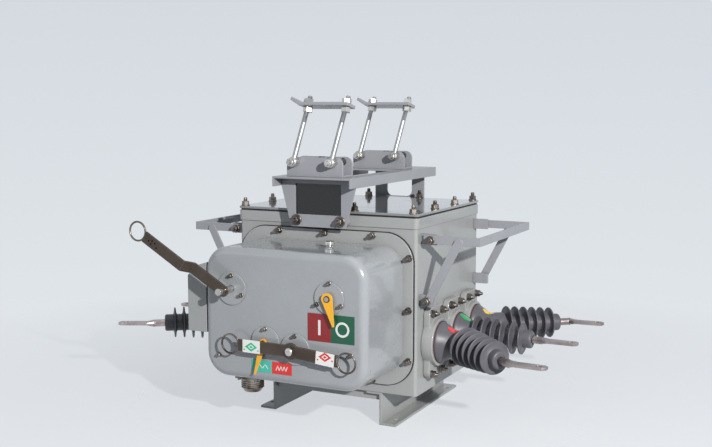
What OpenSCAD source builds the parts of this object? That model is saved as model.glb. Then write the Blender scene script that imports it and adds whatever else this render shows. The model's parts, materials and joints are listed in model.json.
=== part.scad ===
// Pole-top vacuum circuit breaker: a steel tank with three phases, a spring
// mechanism in a hood on its front, and a bracket on top to hang it by.
// Millimetres. X runs left to right along the front, Y from front to back,
// Z up. The origin is midway between the feet, on the ground.

/* [Tank] */
// Width of the tank, left to right
tank_w = 478; // [440:1:520]
// Depth of the tank, front to back
tank_d = 404; // [370:1:440]
// Height of the tank's walls
tank_h = 419; // [405:1:450]
// Thickness of the tank's steel sheet
tank_wall = 4; // [3:0.5:6]
// Radius of the tank's upright corners
tank_corner_r = 8; // [5:1:24]
// Height of the band round the tank's mouth
rim_h = 25; // [12:1:32]
// How far the band stands out from the walls
rim_out = 3; // [1:0.5:6]
// Width of the inward lip that carries the cover
rim_lip = 26; // [15:1:40]

/* [Cover] */
// Thickness of the cover plate
cover_t = 6; // [4:0.5:10]
// Thickness of the cover's seal
gasket_t = 4; // [1.5:0.5:5]
// Thickness of the seal behind the mechanism
flange_gasket_t = 2; // [1:0.5:4]
// How far that seal shows round the mechanism's flange
gasket_proud = 2; // [0.5:0.5:3]

/* [Mechanism] */
// Gap from the mounting flange to the tank's sides and to its rim
flange_margin = 7; // [4:0.5:20]
// Gap from the mounting flange to the tank's floor
flange_foot_gap = 23; // [10:1:30]
// Gap between the flange and the rim above it
flange_top_gap = 11; // [8:1:20]
// Thickness of the mounting flange
flange_t = 6; // [4:0.5:10]
// Corner radius of the mounting flange
flange_r = 70; // [40:1:90]
// Width of the flange's bolt land beside the hood
land_side = 24; // [22:1:34]
// Width of the flange's bolt land above and below the hood
land_top = 28.5; // [22:0.5:34]
// Depth of the hood
hood_d = 197; // [150:1:230]
// Thickness of the hood's drawn sheet
hood_wall = 3; // [2:0.5:5]
// Corner radius of the hood's outline
hood_corner_r = 56; // [40:1:70]
// Radius of the hood's front edge
hood_edge_r = 18; // [12:1:32]

/* [Shafts] */
// Thickness of the plates round the shafts
boss_t = 4; // [2:0.5:6]
// Charging shaft from the hood's left side and top
charging_in = [76, 93.5]; // [70:0.5:100]
// Position shaft from the hood's right side and top
position_in = [88, 96]; // [70:0.5:100]
// Charge shaft from the hood's middle, leftwards, and bottom
charge_in = [43, 94]; // [40:0.5:100]
// Operating shaft from the hood's middle, rightwards, and bottom
operating_in = [34, 85]; // [25:0.5:100]
// Radius of the charging shaft's plate
charging_boss_r = 38; // [36:1:46]
// Radius of the position shaft's plate
position_boss_r = 36; // [32:1:40]
// Radius of the two lower plates
lower_boss_r = 36; // [32:1:38]
// Radius of the charging shaft
charging_shaft_r = 8; // [6:0.5:10]
// Radius of the operating shaft
operating_shaft_r = 8; // [6:0.5:10]
// Radius of each pointer's shaft
pointer_shaft_r = 4; // [3:0.5:5]
// Running clearance of the shafts
shaft_gap = 0.05; // [0.02:0.01:0.1]
// How far the shafts reach behind the hood's sheet
shaft_inside = 5; // [3:0.5:10]

/* [Handles] */
// Width of the flat bars of both handles
handle_bar_w = 27; // [22:1:34]
// Thickness of the flat bars
handle_bar_t = 5; // [4:0.5:8]
// Radius of a handle's ring to the middle of its wire
handle_ring_r = 22; // [20:0.5:30]
// Radius of the ring's wire
handle_wire_r = 2.25; // [2:0.25:3.5]
// Length of the charging lever, shaft to ring centre
lever_length = 250; // [220:1:280]
// Angle of the charging lever above the horizontal at rest
lever_rest = 30.5; // [20:0.5:40]
// Distance of the lever's hub from the hood's face
lever_stand = 38; // [36:1:60]
// How far the lever's outer half steps out
lever_step = 25; // [10:1:35]
// Distance from the shaft to the lever's step
lever_step_at = 94; // [70:1:110]
// Length of the lever's step along the bar
lever_step_run = 15; // [12:1:30]
// How far the lever's shaft stands out in front of its bar
lever_shaft_out = 20; // [12:1:28]
// Length of the operating handle's left arm, to its ring's centre
handle_left = 158; // [140:1:165]
// Length of the operating handle's right arm, to its ring's centre
handle_right = 139; // [130:1:150]
// Distance of the operating handle from the hood's face
handle_stand = 23; // [23:1:26]
// Drops of the operating handle's left and right arms
handle_drop = [-0.5, 5]; // [-2:0.5:6]
// Radius of the operating handle's hub
handle_hub_r = 19; // [15:0.5:22]
// How far the operating shaft stands out in front of the hub
handle_shaft_out = 8; // [5:0.5:10]
// Length of the plates on the operating handle's arms
label_l = 45; // [30:1:50]
// Thickness of those plates
label_t = 1; // [0.5:0.5:2]
// How far those plates reach past the bar's edges
label_lap = 1; // [0:0.5:3]
// Distance from the left ring's centre to the middle of its plate
left_label_in = 58; // [55:1:75]
// Distance from the right ring's centre to the middle of its plate
right_label_in = 51; // [48:1:70]

/* [Pointers] */
// Length of the position pointer
position_pointer_length = 62; // [55:1:75]
// Lean of the position pointer from straight down
position_pointer_lean = 14.5; // [5:0.5:20]
// Length of the charge pointer
charge_pointer_length = 78; // [65:1:82]
// Lean of the charge pointer from straight down
charge_pointer_lean = 17; // [10:1:22]
// Thickness of the pointers
pointer_t = 2.5; // [1.5:0.5:3]
// Gap between the shafts' plates and the pointers
pointer_stand = 7; // [6:0.5:8]
// Radius of the position pointer's head
position_head_r = 13.5; // [8:0.5:14]
// Radius of the charge pointer's head
charge_head_r = 9; // [7:0.5:12]
// Half width of both pointers' tips
pointer_tip = 2.25; // [1:0.25:4]
// How far a pointer's shaft stands out in front of it
pointer_hub_out = 1.5; // [0.5:0.5:3]

/* [Fittings] */
// Thickness of the two-colour plates under the pointers
plate_t = 1; // [0.5:0.5:2]
// Size of the position pointer's plate
position_plate = [115, 62]; // [50:1:120]
// Its middle from the position shaft, rightwards and up
position_plate_at = [3.5, -67]; // [-80:0.5:20]
// Size of the charge pointer's plate
charge_plate = [105, 27]; // [20:1:110]
// Its middle from the charge shaft, rightwards and up
charge_plate_at = [14.5, -57.5]; // [-60:0.5:20]
// Gap between the two halves of that plate
charge_plate_gap = 4; // [2:0.5:8]
// Breather from the hood's middle, rightwards, and back edge
breather_at = [60, 83]; // [50:1:100]
// Radius of the breather's cap
breather_r = 11.5; // [8:0.5:15]
// Height of the breather's cap
breather_h = 9; // [6:0.5:14]
// Height of the breather's neck
breather_neck = 4; // [3:0.5:8]
// Cable connector from the hood's left side and face
connector_in = [90, 62]; // [50:1:100]
// Side of the cable connector's square flange
connector_plate = 60; // [50:1:65]
// Thickness of the cable connector's flange
connector_plate_t = 10; // [6:1:14]
// Radius of the cable connector's barrel
connector_r = 27; // [18:0.5:28]
// Length of the cable connector's barrel
connector_l = 24; // [20:1:45]
// Length of the cable connector's tapered end
connector_nose = 9; // [5:1:15]
// Radius at the tip of that end
connector_nose_r = 20; // [14:0.5:24]
// Width of the box on the hood's left side
side_box_w = 52; // [40:1:110]
// Depth of the side box, front to back
side_box_d = 70; // [55:1:80]
// Height of the side box against the hood
side_box_h = 165; // [140:1:180]
// Distance from the hood's back edge to the side box
side_box_back = 120; // [100:1:130]
// Height of the side box above the hood's bottom
side_box_rise = 98.5; // [85:0.5:110]
// Width and height of the side box's sloping corner
side_box_corner = [31, 26]; // [15:1:35]
// Fall of the side box's top towards that corner
side_box_fall = 7; // [4:1:12]

/* [Bushings] */
// Gap from the outer wall rings to the tank's edges, less half a gap
phase_margin = 22; // [14:1:26]
// Height of the bushings above the tank's floor
bushing_rise = 118; // [110:0.5:130]
// Gap between neighbouring wall rings
wall_ring_gap = 6; // [4:0.5:20]
// Thickness of the wall rings
wall_ring_t = 29; // [20:1:32]
// Width and height of the ear plates behind the wall rings
ear_plate = [84, 172]; // [70:1:190]
// Thickness of the ear plates
ear_plate_t = 17; // [8:1:18]
// Corner radius of the ear plates
ear_plate_r = 20; // [8:1:30]
// Radius of a bushing's base at its foot
base_r = 49; // [44:0.5:52]
// Height of the base's foot
base_foot = 6; // [3:0.5:10]
// Taper of the base's foot
base_draft = 1; // [0.5:0.5:3]
// Length over which the base narrows to the neck, foot included
base_length = 36; // [30:1:42]
// Radius of the neck between base and sheds
neck_r = 31; // [26:0.5:36]
// Distance from the neck's end to the first shed's middle
neck_gap = 9; // [8:0.5:12]
// Round at the neck's end
neck_round = 3; // [1:0.5:3.5]
// Distance from the wall to the bend of an outer bushing
bend_out = 72; // [66:1:80]
// How far the ball at that bend is thicker than the neck
elbow_proud = 2.5; // [2:0.5:4]
// Angle by which the outer phases spread
splay = 38; // [30:0.5:42]
// Radius of the core between the sheds
core_r = 21.5; // [18:0.5:25]
// Radius of the shed next to the base
shed_r = 46.5; // [42:0.5:50]
// How much smaller the last shed is
shed_fall = 8; // [2:0.5:12]
// Number of sheds
shed_count = 6; // [4:1:7]
// Distance from shed to shed
shed_pitch = 23; // [20:0.5:25]
// Distance from the wall to a middle bushing's first shed
first_shed_middle = 76; // [72:0.5:90]
// Distance from the bend to an outer bushing's first shed
first_shed_outer = 40.5; // [36:0.5:50]
// Thickness of a shed at its root
shed_root_t = 10; // [8:0.5:12]
// Thickness of a shed at its edge
shed_edge_t = 4.5; // [2:0.5:6]
// Depth of the round at a shed's edge
shed_edge_r = 1.5; // [0.5:0.25:2]
// Round at the cap's end
cap_round = 5; // [1:0.5:7]
// Length of the plain end beyond the last shed
cap_length = 26; // [20:1:35]

/* [Terminals] */
// Radius of a terminal's rod
rod_r = 9; // [7:0.5:11]
// Reach of an outer terminal's round rod along X
rod_reach = 24; // [15:0.5:45]
// Length of the flat palm from the rod's end to its tip
palm_length = 88; // [70:1:95]
// Turn of the right-hand outer palms from the X axis
right_palm_turn = 4; // [0:1:38]
// Turn of the left-hand outer palms from the X axis
left_palm_turn = 26; // [0:1:38]
// Length over which the rod flattens into the palm
palm_neck = 15; // [10:1:22]
// Cut of the palm's corners at its tip
palm_corner = 8; // [4:0.5:11]
// Distance from the palm's tip to its hole
palm_hole_in = 19; // [15:0.5:25]
// Width of a terminal's flat palm
palm_w = 30; // [24:1:36]
// Thickness of the palm
palm_t = 6; // [4:0.5:8]
// Radius of the hole in the palm
palm_hole_r = 6.5; // [5:0.5:8]

/* [Side frames] */
// Reach of a side frame from the tank's wall
frame_reach = 147; // [120:1:160]
// Distance from the tank's front and rear to a frame's bars
frame_inset = 21; // [10:1:25]
// Gap between the tank's wall and the ends of a frame's bars
frame_end_gap = 8; // [4:1:14]
// Height of the frame's flat bar
frame_bar_h = 20; // [16:1:25]
// Thickness of the frame's flat bar
frame_bar_t = 6; // [5:0.5:8]
// Height of the frame's bar above the tank's floor
frame_rise = 370; // [350:1:380]
// Width of a brace
brace_w = 20; // [16:1:24]
// Thickness of a brace
brace_t = 4; // [3:0.5:6]
// Distance from the tank's wall to a brace's upper end
brace_out = 95; // [75:1:105]
// Distance from the tank's wall to a brace's lower end
brace_in = 23; // [15:1:28]
// Height of the frame's bar above a brace's lower end
brace_drop = 143; // [125:1:160]
// How far a brace's upper end sits below the bar's middle
brace_dip = 4; // [0:0.5:6]
// Reach of the welded tabs from the tank's wall
tab_reach = 39; // [30:1:42]
// Height of the welded tabs
tab_h = 26; // [20:1:32]
// Thickness of the welded tabs
tab_t = 6; // [4:0.5:8]

/* [Feet] */
// Height of the feet
foot_h = 80; // [60:1:90]
// Distance from the tank's side to the outer face of a foot's web
foot_in = 90; // [70:1:110]
// Width of a foot's lower flange
foot_flange_w = 43; // [35:1:50]
// How far a foot reaches past the tank at the front and rear
foot_over = -2; // [-6:1:20]
// Width of a foot's upper flange under the tank
foot_ledge = 40; // [30:1:50]
// Thickness of the feet's sheet
foot_t = 6; // [4:0.5:8]
// Radius of the fixing holes in the feet
foot_hole_r = 7; // [5:0.5:9]
// Distance from a foot's end to its fixing hole
foot_hole_in = 40; // [30:1:60]
// Distance from a foot's web to its fixing holes
foot_hole_out = 23; // [18:0.5:28]
// Height of the cross members between the feet
cross_h = 22; // [18:1:30]
// Thickness of the cross members
cross_t = 6; // [4:0.5:8]
// Distance from the tank's front and rear to a cross member's middle
cross_inset = 16; // [12:1:24]

/* [Bracket] */
// Width of the hanging bracket
bracket_w = 208; // [190:1:230]
// Height of the bracket's top above the cover
bracket_rise = 81.5; // [75:0.5:100]
// Height of the bracket's side lips
bracket_lip = 24; // [16:1:35]
// Thickness of the bracket's sheet
bracket_t = 5; // [4:0.5:8]
// How far the bracket reaches past its front leg
bracket_front_over = 34.5; // [30:0.5:50]
// How far the bracket reaches past its rear leg
bracket_rear_over = 4.5; // [2:0.5:12]
// Width of the window in the bracket's top
top_window_w = 126; // [110:1:140]
// Gap from the saddles to the window in the bracket's top
top_window_gap = 10; // [6:1:16]
// Gap between the tank's rim and the legs
leg_gap = 27.5; // [24:0.5:30]
// Width of the legs at the tank
leg_w = 146; // [144:1:165]
// How far the legs reach below the tank's mouth
leg_drop = 29; // [24:1:34]
// Distance between a leg's two spacers
spacer_pitch = 116; // [100:1:122]
// Radius of the spacers
spacer_r = 13; // [10:0.5:15]
// Depth of the spacers' middle below the tank's mouth
spacer_drop = 14; // [8:0.5:16]
// Width of the front leg's window
leg_window_w = 122; // [110:1:126]
// Height of the front leg's window
leg_window_h = 73; // [60:1:76]
// Thickness of the dark panel behind that window
panel_t = 3; // [2:0.5:4]
// How far the panel laps behind the window's top and sides
panel_lap = 4; // [2:0.5:6]
// How far the panel laps behind the window's lower edge
panel_foot_lap = 1.5; // [1:0.5:4]
// Gap between the panel and the spacers below it
panel_gap = 0.5; // [0.3:0.1:2]
// Size of the rear leg's window
rear_window = [74, 68]; // [60:1:76]
// Corner radius of the rear leg's window
rear_window_r = 16; // [8:1:24]

/* [Clamps] */
// Distance from the bracket's front edge to the front saddle
saddle_inset = 18; // [12:1:24]
// Distance from saddle to saddle
saddle_pitch = 350; // [330:1:355]
// Width of a saddle
saddle_w = 148; // [140:1:160]
// Depth of a saddle
saddle_d = 54; // [45:1:60]
// Height of a saddle
saddle_h = 46; // [40:1:55]
// Radius of a saddle's upper corners
saddle_r = 17; // [12:0.5:20]
// Depth of the cross bolts below a saddle's top edge
pivot_drop = 11.5; // [10:0.5:20]
// Distance of the clamp rods from a saddle's front
rod_stand = 11; // [10:0.5:14]
// Distance between a clamp's two rods
rod_pitch = 100; // [90:1:110]
// Radius of a clamp rod
clamp_rod_r = 6; // [5:0.5:8]
// Length of a clamp rod
clamp_rod_length = 160; // [145:1:180]
// Length of a clamp rod beyond the middle of its bar
rod_tail = 23; // [20:1:30]
// Sideways lean of the clamp rods
lean_side = 10; // [0:1:15]
// Backward lean of the clamp rods
lean_back = 13; // [0:1:16]
// Width of a clamp bar
clamp_bar_w = 42; // [34:1:50]
// Thickness of a clamp bar
clamp_bar_t = 8; // [6:0.5:10]
// Length of a clamp bar beyond each rod
clamp_bar_end = 14; // [12:0.5:20]
// Length of a clamp bar's bent end
clamp_wing = 28; // [18:1:36]
// Angle of a clamp bar's bent end
clamp_fold = 30; // [15:1:45]
// Clearance of the rods in a clamp bar's holes
clamp_bar_play = 2; // [1:0.25:3]
// Width across flats of the nuts on the clamp rods
rod_nut_w = 20; // [17:0.5:24]
// Height of the nuts on the clamp rods
rod_nut_h = 12; // [8:0.5:14]
// Radius of a cross bolt
cross_bolt_r = 8; // [6:0.5:9]
// Clearance of a cross bolt in the saddle
cross_bolt_play = 0.5; // [0.25:0.25:1]
// Width across flats of the cross bolts' heads and nuts
cross_head_w = 24; // [20:0.5:27]
// Height of the cross bolts' heads and nuts
cross_head_h = 11; // [8:0.5:14]
// Radius of the collars that join rods and cross bolts
collar_r = 13; // [11:0.5:15]
// How far those collars and the bolts' tails stand past what they hold
collar_over = 2; // [1:0.5:4]

/* [Hidden] */
$fn = 96;

paint = "#a4a7a5";
bracket_paint = "#9a9ca3";
dark_rubber = "#26272a";
silicone = "#55565b";
bright = "#c9c9c6";
bronze = "#6b5f58";
yellow = "#f0b21c";
// How far cuts run past a face
over = 1;

// heights
tank_top = foot_h + tank_h;
cover_z = tank_top + gasket_t;
cover_top = cover_z + cover_t;
bracket_top = cover_top + bracket_rise;
flange_w = tank_w - 2 * flange_margin;
flange_h = tank_h - rim_h - flange_foot_gap - flange_top_gap;
flange_z = foot_h + flange_foot_gap + flange_h / 2;
hood_w = flange_w - 2 * land_side;
hood_h = flange_h - 2 * land_top;
bushing_z = foot_h + bushing_rise;
frame_z = foot_h + frame_rise;

// planes in front of the tank, all at negative Y
front_y = -tank_d / 2;
flange_back_y = front_y - flange_gasket_t;
hood_back_y = flange_back_y - flange_t;
hood_face_y = hood_back_y - hood_d;
boss_face_y = hood_face_y - boss_t;
hood_bottom = flange_z - hood_h / 2;
hood_top = flange_z + hood_h / 2;

// shaft centres on the hood's face, as [x, z]
charging_at = [charging_in[0] - hood_w / 2, hood_top - charging_in[1]];
position_at = [hood_w / 2 - position_in[0], hood_top - position_in[1]];
charge_at = [-charge_in[0], hood_bottom + charge_in[1]];
operating_at = [operating_in[0], hood_bottom + operating_in[1]];

// layers in front of the hood
pointer_y = boss_face_y - pointer_stand;
handle_y = hood_face_y - handle_stand;
lever_y = hood_face_y - lever_stand;
shaft_in_y = hood_face_y + hood_wall + shaft_inside;

// phases: spacing, and where the bushings end
phase_pitch = (tank_d - 2 * phase_margin) / 3;
wall_ring_r = (phase_pitch - wall_ring_gap) / 2;
sheds_length = (shed_count - 1) * shed_pitch + cap_length;
outer_reach = first_shed_outer + sheds_length;
outer_end_x = tank_w / 2 + bend_out + outer_reach * cos(splay);
outer_end_y = phase_pitch + outer_reach * sin(splay);
middle_end_x = tank_w / 2 + first_shed_middle + sheds_length;
palm_start_x = outer_end_x + rod_reach;

// side frames and feet
foot_x = tank_w / 2 - foot_in;
frame_half_d = tank_d / 2 - frame_inset;
brace_foot_z = frame_z - brace_drop;
foot_length = tank_d + 2 * foot_over;
ledge_length = min(tank_d, foot_length);
foot_hole_pitch = foot_length - 2 * foot_hole_in;

// bracket: the legs' inner faces, and both ends
leg_face = tank_d / 2 + rim_out + leg_gap;
bracket_front = leg_face + bracket_t + bracket_front_over;
bracket_rear = leg_face + bracket_t + bracket_rear_over;
leg_foot_z = tank_top - leg_drop;
spacer_z = tank_top - spacer_drop;
panel_foot_z = spacer_z + spacer_r + panel_gap;
leg_window_z = panel_foot_z + panel_foot_lap;

// clamps
rod_x = rod_pitch / 2;
saddle_front_y = saddle_inset - bracket_front;
pivot_z = bracket_top + saddle_h - pivot_drop;
pivot_y = saddle_front_y - rod_stand;
collar_l = rod_stand + clamp_rod_r + collar_over;
bar_at = clamp_rod_length - rod_tail;
bar_shift_x = bar_at * cos(lean_back) * sin(lean_side);
bar_shift_y = bar_at * sin(lean_back);
bar_shift_z = bar_at * cos(lean_back) * cos(lean_side);

// ---------- shared shapes ----------

// Flat rectangle with round corners, centred
module round_rect(w, h, r) {
    square([w - 2 * r, h], center = true);
    square([w, h - 2 * r], center = true);
    for (sx = [-1, 1], sy = [-1, 1])
        translate([sx * (w / 2 - r), sy * (h / 2 - r)])
            circle(r);
}

// Upright outline, round at top and bottom, centred
module stadium(w, h) {
    square([w, h - w], center = true);
    for (s = [-1, 1])
        translate([0, s * (h - w) / 2])
            circle(w / 2);
}

// Section of a slab whose two upper edges are round
module slab_section(w, d, r) {
    translate([-w / 2, 0])
        square([w, d - r]);
    translate([-w / 2 + r, 0])
        square([w - 2 * r, d]);
    for (s = [-1, 1])
        translate([s * (w / 2 - r), d - r])
            circle(r);
}

// Half section of a round corner whose upper edge is round
module corner_section(cr, d, r) {
    square([cr, d - r]);
    square([cr - r, d]);
    translate([cr - r, d - r])
        circle(r);
}

// Block with round corners and a round front edge, rising along +Z
module drawn_block(w, h, d, cr, r) {
    for (sx = [-1, 1], sy = [-1, 1])
        translate([sx * (w / 2 - cr), sy * (h / 2 - cr), 0])
            rotate_extrude()
                intersection() {
                    corner_section(cr, d, r);
                    square([cr, d]);
                }
    rotate([90, 0, 90])
        translate([0, 0, -(w / 2 - cr)])
            linear_extrude(w - 2 * cr)
                slab_section(h, d, r);
    rotate([90, 0, 0])
        translate([0, 0, -(h / 2 - cr)])
            linear_extrude(h - 2 * cr)
                slab_section(w, d, r);
}

// Places a shape so that its +Z points to the front, at [x, z] and y
module facing_front(at, y) {
    translate([at[0], y, at[1]])
        rotate([90, 0, 0])
            children();
}

// Bar with a rectangular section between two points in the XZ plane
module flat_strip(p, q, y, w, t) {
    run = q - p;
    angle = atan2(run[1], run[0]);
    translate([p[0], y, p[1]])
        rotate([0, -angle, 0]) {
            translate([0, -t / 2, -w / 2])
                cube([norm(run), t, w]);
            for (x = [0, norm(run)])
                translate([x, t / 2, 0])
                    rotate([90, 0, 0])
                        cylinder(r = w / 2, h = t);
        }
}

// Ring of round wire, its axis along Y
module wire_ring() {
    rotate([90, 0, 0])
        rotate_extrude()
            translate([handle_ring_r, 0])
                circle(handle_wire_r, $fn = 24);
}

// Hexagonal nut or head, its axis along Z
module hexagon(across, h) {
    cylinder(r = across / 2 / cos(30), h = h, $fn = 6);
}

// ---------- tank ----------

module tank() {
    color(paint)
        difference() {
            union() {
                translate([0, 0, foot_h])
                    linear_extrude(tank_h)
                        round_rect(tank_w, tank_d, tank_corner_r);
                translate([0, 0, tank_top - rim_h])
                    linear_extrude(rim_h)
                        round_rect(tank_w + 2 * rim_out,
                            tank_d + 2 * rim_out, tank_corner_r + rim_out);
            }
            translate([0, 0, foot_h + tank_wall])
                linear_extrude(tank_h - 2 * tank_wall)
                    round_rect(tank_w - 2 * tank_wall,
                        tank_d - 2 * tank_wall, tank_corner_r - tank_wall);
            translate([0, 0, tank_top - tank_wall - over])
                linear_extrude(tank_wall + 2 * over)
                    square([tank_w - 2 * rim_lip, tank_d - 2 * rim_lip],
                        center = true);
        }
}

module top_cover() {
    color(paint)
        translate([0, 0, cover_z])
            linear_extrude(cover_t)
                round_rect(tank_w + 2 * rim_out, tank_d + 2 * rim_out,
                    tank_corner_r);
}

module gaskets() {
    color(dark_rubber) {
        translate([0, 0, tank_top])
            linear_extrude(gasket_t)
                difference() {
                    round_rect(tank_w, tank_d, tank_corner_r);
                    square([tank_w - 2 * rim_lip, tank_d - 2 * rim_lip],
                        center = true);
                }
        facing_front([0, flange_z], front_y)
            linear_extrude(flange_gasket_t)
                round_rect(flange_w + 2 * gasket_proud,
                    flange_h + 2 * gasket_proud, flange_r + gasket_proud);
    }
}

// ---------- mechanism ----------

module mechanism_flange() {
    color(paint)
        facing_front([0, flange_z], flange_back_y)
            linear_extrude(flange_t)
                round_rect(flange_w, flange_h, flange_r);
}

module shaft_bores() {
    for (s = [[charging_at, charging_shaft_r],
              [operating_at, operating_shaft_r],
              [position_at, pointer_shaft_r],
              [charge_at, pointer_shaft_r]])
        facing_front(s[0], shaft_in_y)
            cylinder(r = s[1] + shaft_gap,
                h = shaft_in_y - boss_face_y + over);
}

module mechanism_housing() {
    color(paint)
        difference() {
            facing_front([0, flange_z], hood_back_y)
                difference() {
                    drawn_block(hood_w, hood_h, hood_d,
                        hood_corner_r, hood_edge_r);
                    translate([0, 0, -over])
                        drawn_block(hood_w - 2 * hood_wall,
                            hood_h - 2 * hood_wall,
                            hood_d - hood_wall + over,
                            hood_corner_r - hood_wall,
                            hood_edge_r - hood_wall);
                }
            shaft_bores();
        }
}

module shaft_bosses() {
    color(paint)
        difference() {
            for (b = [[charging_at, charging_boss_r],
                      [position_at, position_boss_r],
                      [charge_at, lower_boss_r],
                      [operating_at, lower_boss_r]])
                facing_front(b[0], hood_face_y)
                    cylinder(r = b[1], h = boss_t);
            shaft_bores();
        }
}

// Two-colour plates under the pointers
module indicator_plates() {
    color("#2a6d4c")
        facing_front(position_at + position_plate_at, hood_face_y)
            linear_extrude(plate_t)
                square(position_plate, center = true);
    color("#d33a3c")
        facing_front(charge_at + charge_plate_at, hood_face_y)
            linear_extrude(plate_t)
                difference() {
                    square(charge_plate, center = true);
                    square([charge_plate_gap, charge_plate[1] + over],
                        center = true);
                }
}

module breather() {
    color(bright)
        translate([breather_at[0], hood_back_y - breather_at[1], hood_top]) {
            cylinder(r = 0.8 * breather_r, h = breather_neck);
            translate([0, 0, breather_neck])
                cylinder(r = breather_r, h = breather_h);
        }
}

module cable_connector() {
    color(bright)
        translate([connector_in[0] - hood_w / 2,
                hood_face_y + connector_in[1],
                hood_bottom - connector_plate_t]) {
            translate([-connector_plate / 2, -connector_plate / 2, 0])
                cube([connector_plate, connector_plate, connector_plate_t]);
            translate([0, 0, -connector_l])
                cylinder(r = connector_r, h = connector_l);
            translate([0, 0, -connector_l - connector_nose])
                cylinder(r1 = connector_nose_r, r2 = connector_r,
                    h = connector_nose);
        }
}

// Box on the hood's left side with a sloping top corner
module side_box() {
    w = side_box_w;
    shoulder = side_box_h - side_box_fall;
    wall = hood_wall;
    color(paint)
        translate([-hood_w / 2, hood_back_y - side_box_back,
                hood_bottom + side_box_rise])
            difference() {
                rotate([90, 0, 0])
                    linear_extrude(side_box_d)
                        polygon([[0, 0], [-w, 0],
                            [-w, shoulder - side_box_corner[1]],
                            [side_box_corner[0] - w, shoulder],
                            [0, side_box_h]]);
                translate([wall - w, wall - side_box_d, wall])
                    cube([w - 2 * wall, side_box_d - 2 * wall,
                        shoulder - side_box_corner[1] - 2 * wall]);
            }
}

// ---------- bushings ----------

// Ear plate and round ring behind each bushing, on the right wall
module bushing_flanges() {
    for (k = [-1, 0, 1])
        translate([tank_w / 2, k * phase_pitch, bushing_z])
            rotate([90, 0, 90]) {
                linear_extrude(ear_plate_t)
                    round_rect(ear_plate[0], ear_plate[1], ear_plate_r);
                cylinder(r = wall_ring_r, h = wall_ring_t);
            }
}

// Outline of the base, from its foot on the wall ring to the neck
function base_outline() = [[base_r, 0], [base_r - base_draft, base_foot],
    [neck_r, base_length]];

// Outline from the neck over the sheds to the middle of the cap's end
function shed_outline(first_shed) =
    let (last_shed = first_shed + (shed_count - 1) * shed_pitch,
        neck_end = first_shed - neck_gap,
        edge = shed_edge_t / 2)
    concat(
        [[neck_r, neck_end], [core_r, neck_end + neck_round]],
        [for (i = [0 : shed_count - 1])
            let (r = shed_r - shed_fall * i / (shed_count - 1))
            for (p = [[core_r, -shed_root_t / 2], [r - shed_edge_r, -edge],
                      [r, 0], [r - shed_edge_r, edge],
                      [core_r, shed_root_t / 2]])
                [p[0], first_shed + i * shed_pitch + p[1]]],
        [[core_r, last_shed + cap_length - cap_round],
            [core_r - 0.3 * cap_round, last_shed + cap_length
                - 0.3 * cap_round],
            [core_r - cap_round, last_shed + cap_length],
            [0, last_shed + cap_length]]);

// Straight bushing on the right wall, pointing along +X
module middle_insulator() {
    color(silicone)
        translate([tank_w / 2 + wall_ring_t, 0, bushing_z])
            rotate([0, 90, 0])
                rotate_extrude()
                    polygon(concat([[0, 0]], base_outline(),
                        shed_outline(first_shed_middle - wall_ring_t)));
}

// Cranked bushing on the right wall, spreading towards +Y: straight base,
// ball at the bend, and the sheds beyond it
module outer_insulator() {
    bend = bend_out - wall_ring_t;
    color(silicone)
        translate([tank_w / 2 + wall_ring_t, phase_pitch, bushing_z]) {
            rotate([0, 90, 0])
                rotate_extrude()
                    polygon(concat([[0, 0]], base_outline(),
                        [[neck_r, bend], [0, bend]]));
            translate([bend, 0, 0]) {
                sphere(neck_r + elbow_proud);
                rotate([0, 90, splay])
                    rotate_extrude()
                        polygon(concat([[0, 0], [neck_r, 0]],
                            shed_outline(first_shed_outer)));
            }
        }
}

// Flat drilled palm with its neck, pointing along +X from the rod's end
module palm() {
    half_w = palm_w / 2;
    c = palm_corner;
    difference() {
        union() {
            hull() {
                translate([-rod_r / 2, 0, 0])
                    rotate([0, 90, 0])
                        cylinder(r = 0.95 * rod_r, h = rod_r / 2, $fn = 32);
                translate([palm_neck, -half_w, -palm_t / 2])
                    cube([over, palm_w, palm_t]);
            }
            translate([0, 0, -palm_t / 2])
                linear_extrude(palm_t)
                    polygon([[palm_neck, -half_w],
                        [palm_length - c, -half_w],
                        [palm_length, c - half_w],
                        [palm_length, half_w - c],
                        [palm_length - c, half_w],
                        [palm_neck, half_w]]);
        }
        translate([palm_length - palm_hole_in, 0, -palm_t])
            cylinder(r = palm_hole_r, h = 2 * palm_t);
    }
}

// Round rod from the cap's end, with the palm on it
module terminal(start, rod_angle, palm_angle) {
    rod_length = (palm_start_x - start[0]) / cos(rod_angle);
    palm_y = start[1] + rod_length * sin(rod_angle);
    color(bright) {
        translate([start[0], start[1], bushing_z])
            rotate([0, 90, rod_angle])
                cylinder(r = rod_r, h = rod_length);
        translate([palm_start_x, palm_y, bushing_z])
            rotate([0, 0, palm_angle])
                palm();
    }
}

// Copies a right-hand shape to the left, and a rear one to the front
module on_left() {
    mirror([1, 0, 0])
        children();
}
module at_front() {
    mirror([0, 1, 0])
        children();
}

module outer_terminal(palm_angle) {
    terminal([outer_end_x, outer_end_y], splay, palm_angle);
}
module middle_terminal() {
    terminal([middle_end_x, 0], 0, 0);
}

// ---------- side frames ----------

// Flat bar bent round three sides, with a brace under each end
module side_frame() {
    wall_x = tank_w / 2;
    reach_x = wall_x + frame_reach;
    bar_z = frame_z - frame_bar_h / 2;
    y0 = frame_half_d;
    t = frame_bar_t;
    color(bracket_paint)
        union() {
            for (s = [-1, 1])
                translate([wall_x + frame_end_gap, s * y0 - t / 2, bar_z])
                    cube([frame_reach - frame_end_gap, t, frame_bar_h]);
            translate([reach_x - t, -y0 - t / 2, bar_z])
                cube([t, 2 * y0 + t, frame_bar_h]);
            for (s = [-1, 1])
                flat_strip([wall_x + brace_out, frame_z - brace_dip],
                    [wall_x + brace_in, brace_foot_z],
                    s * (y0 + t / 2 + brace_t / 2), brace_w, brace_t);
        }
}

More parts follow.
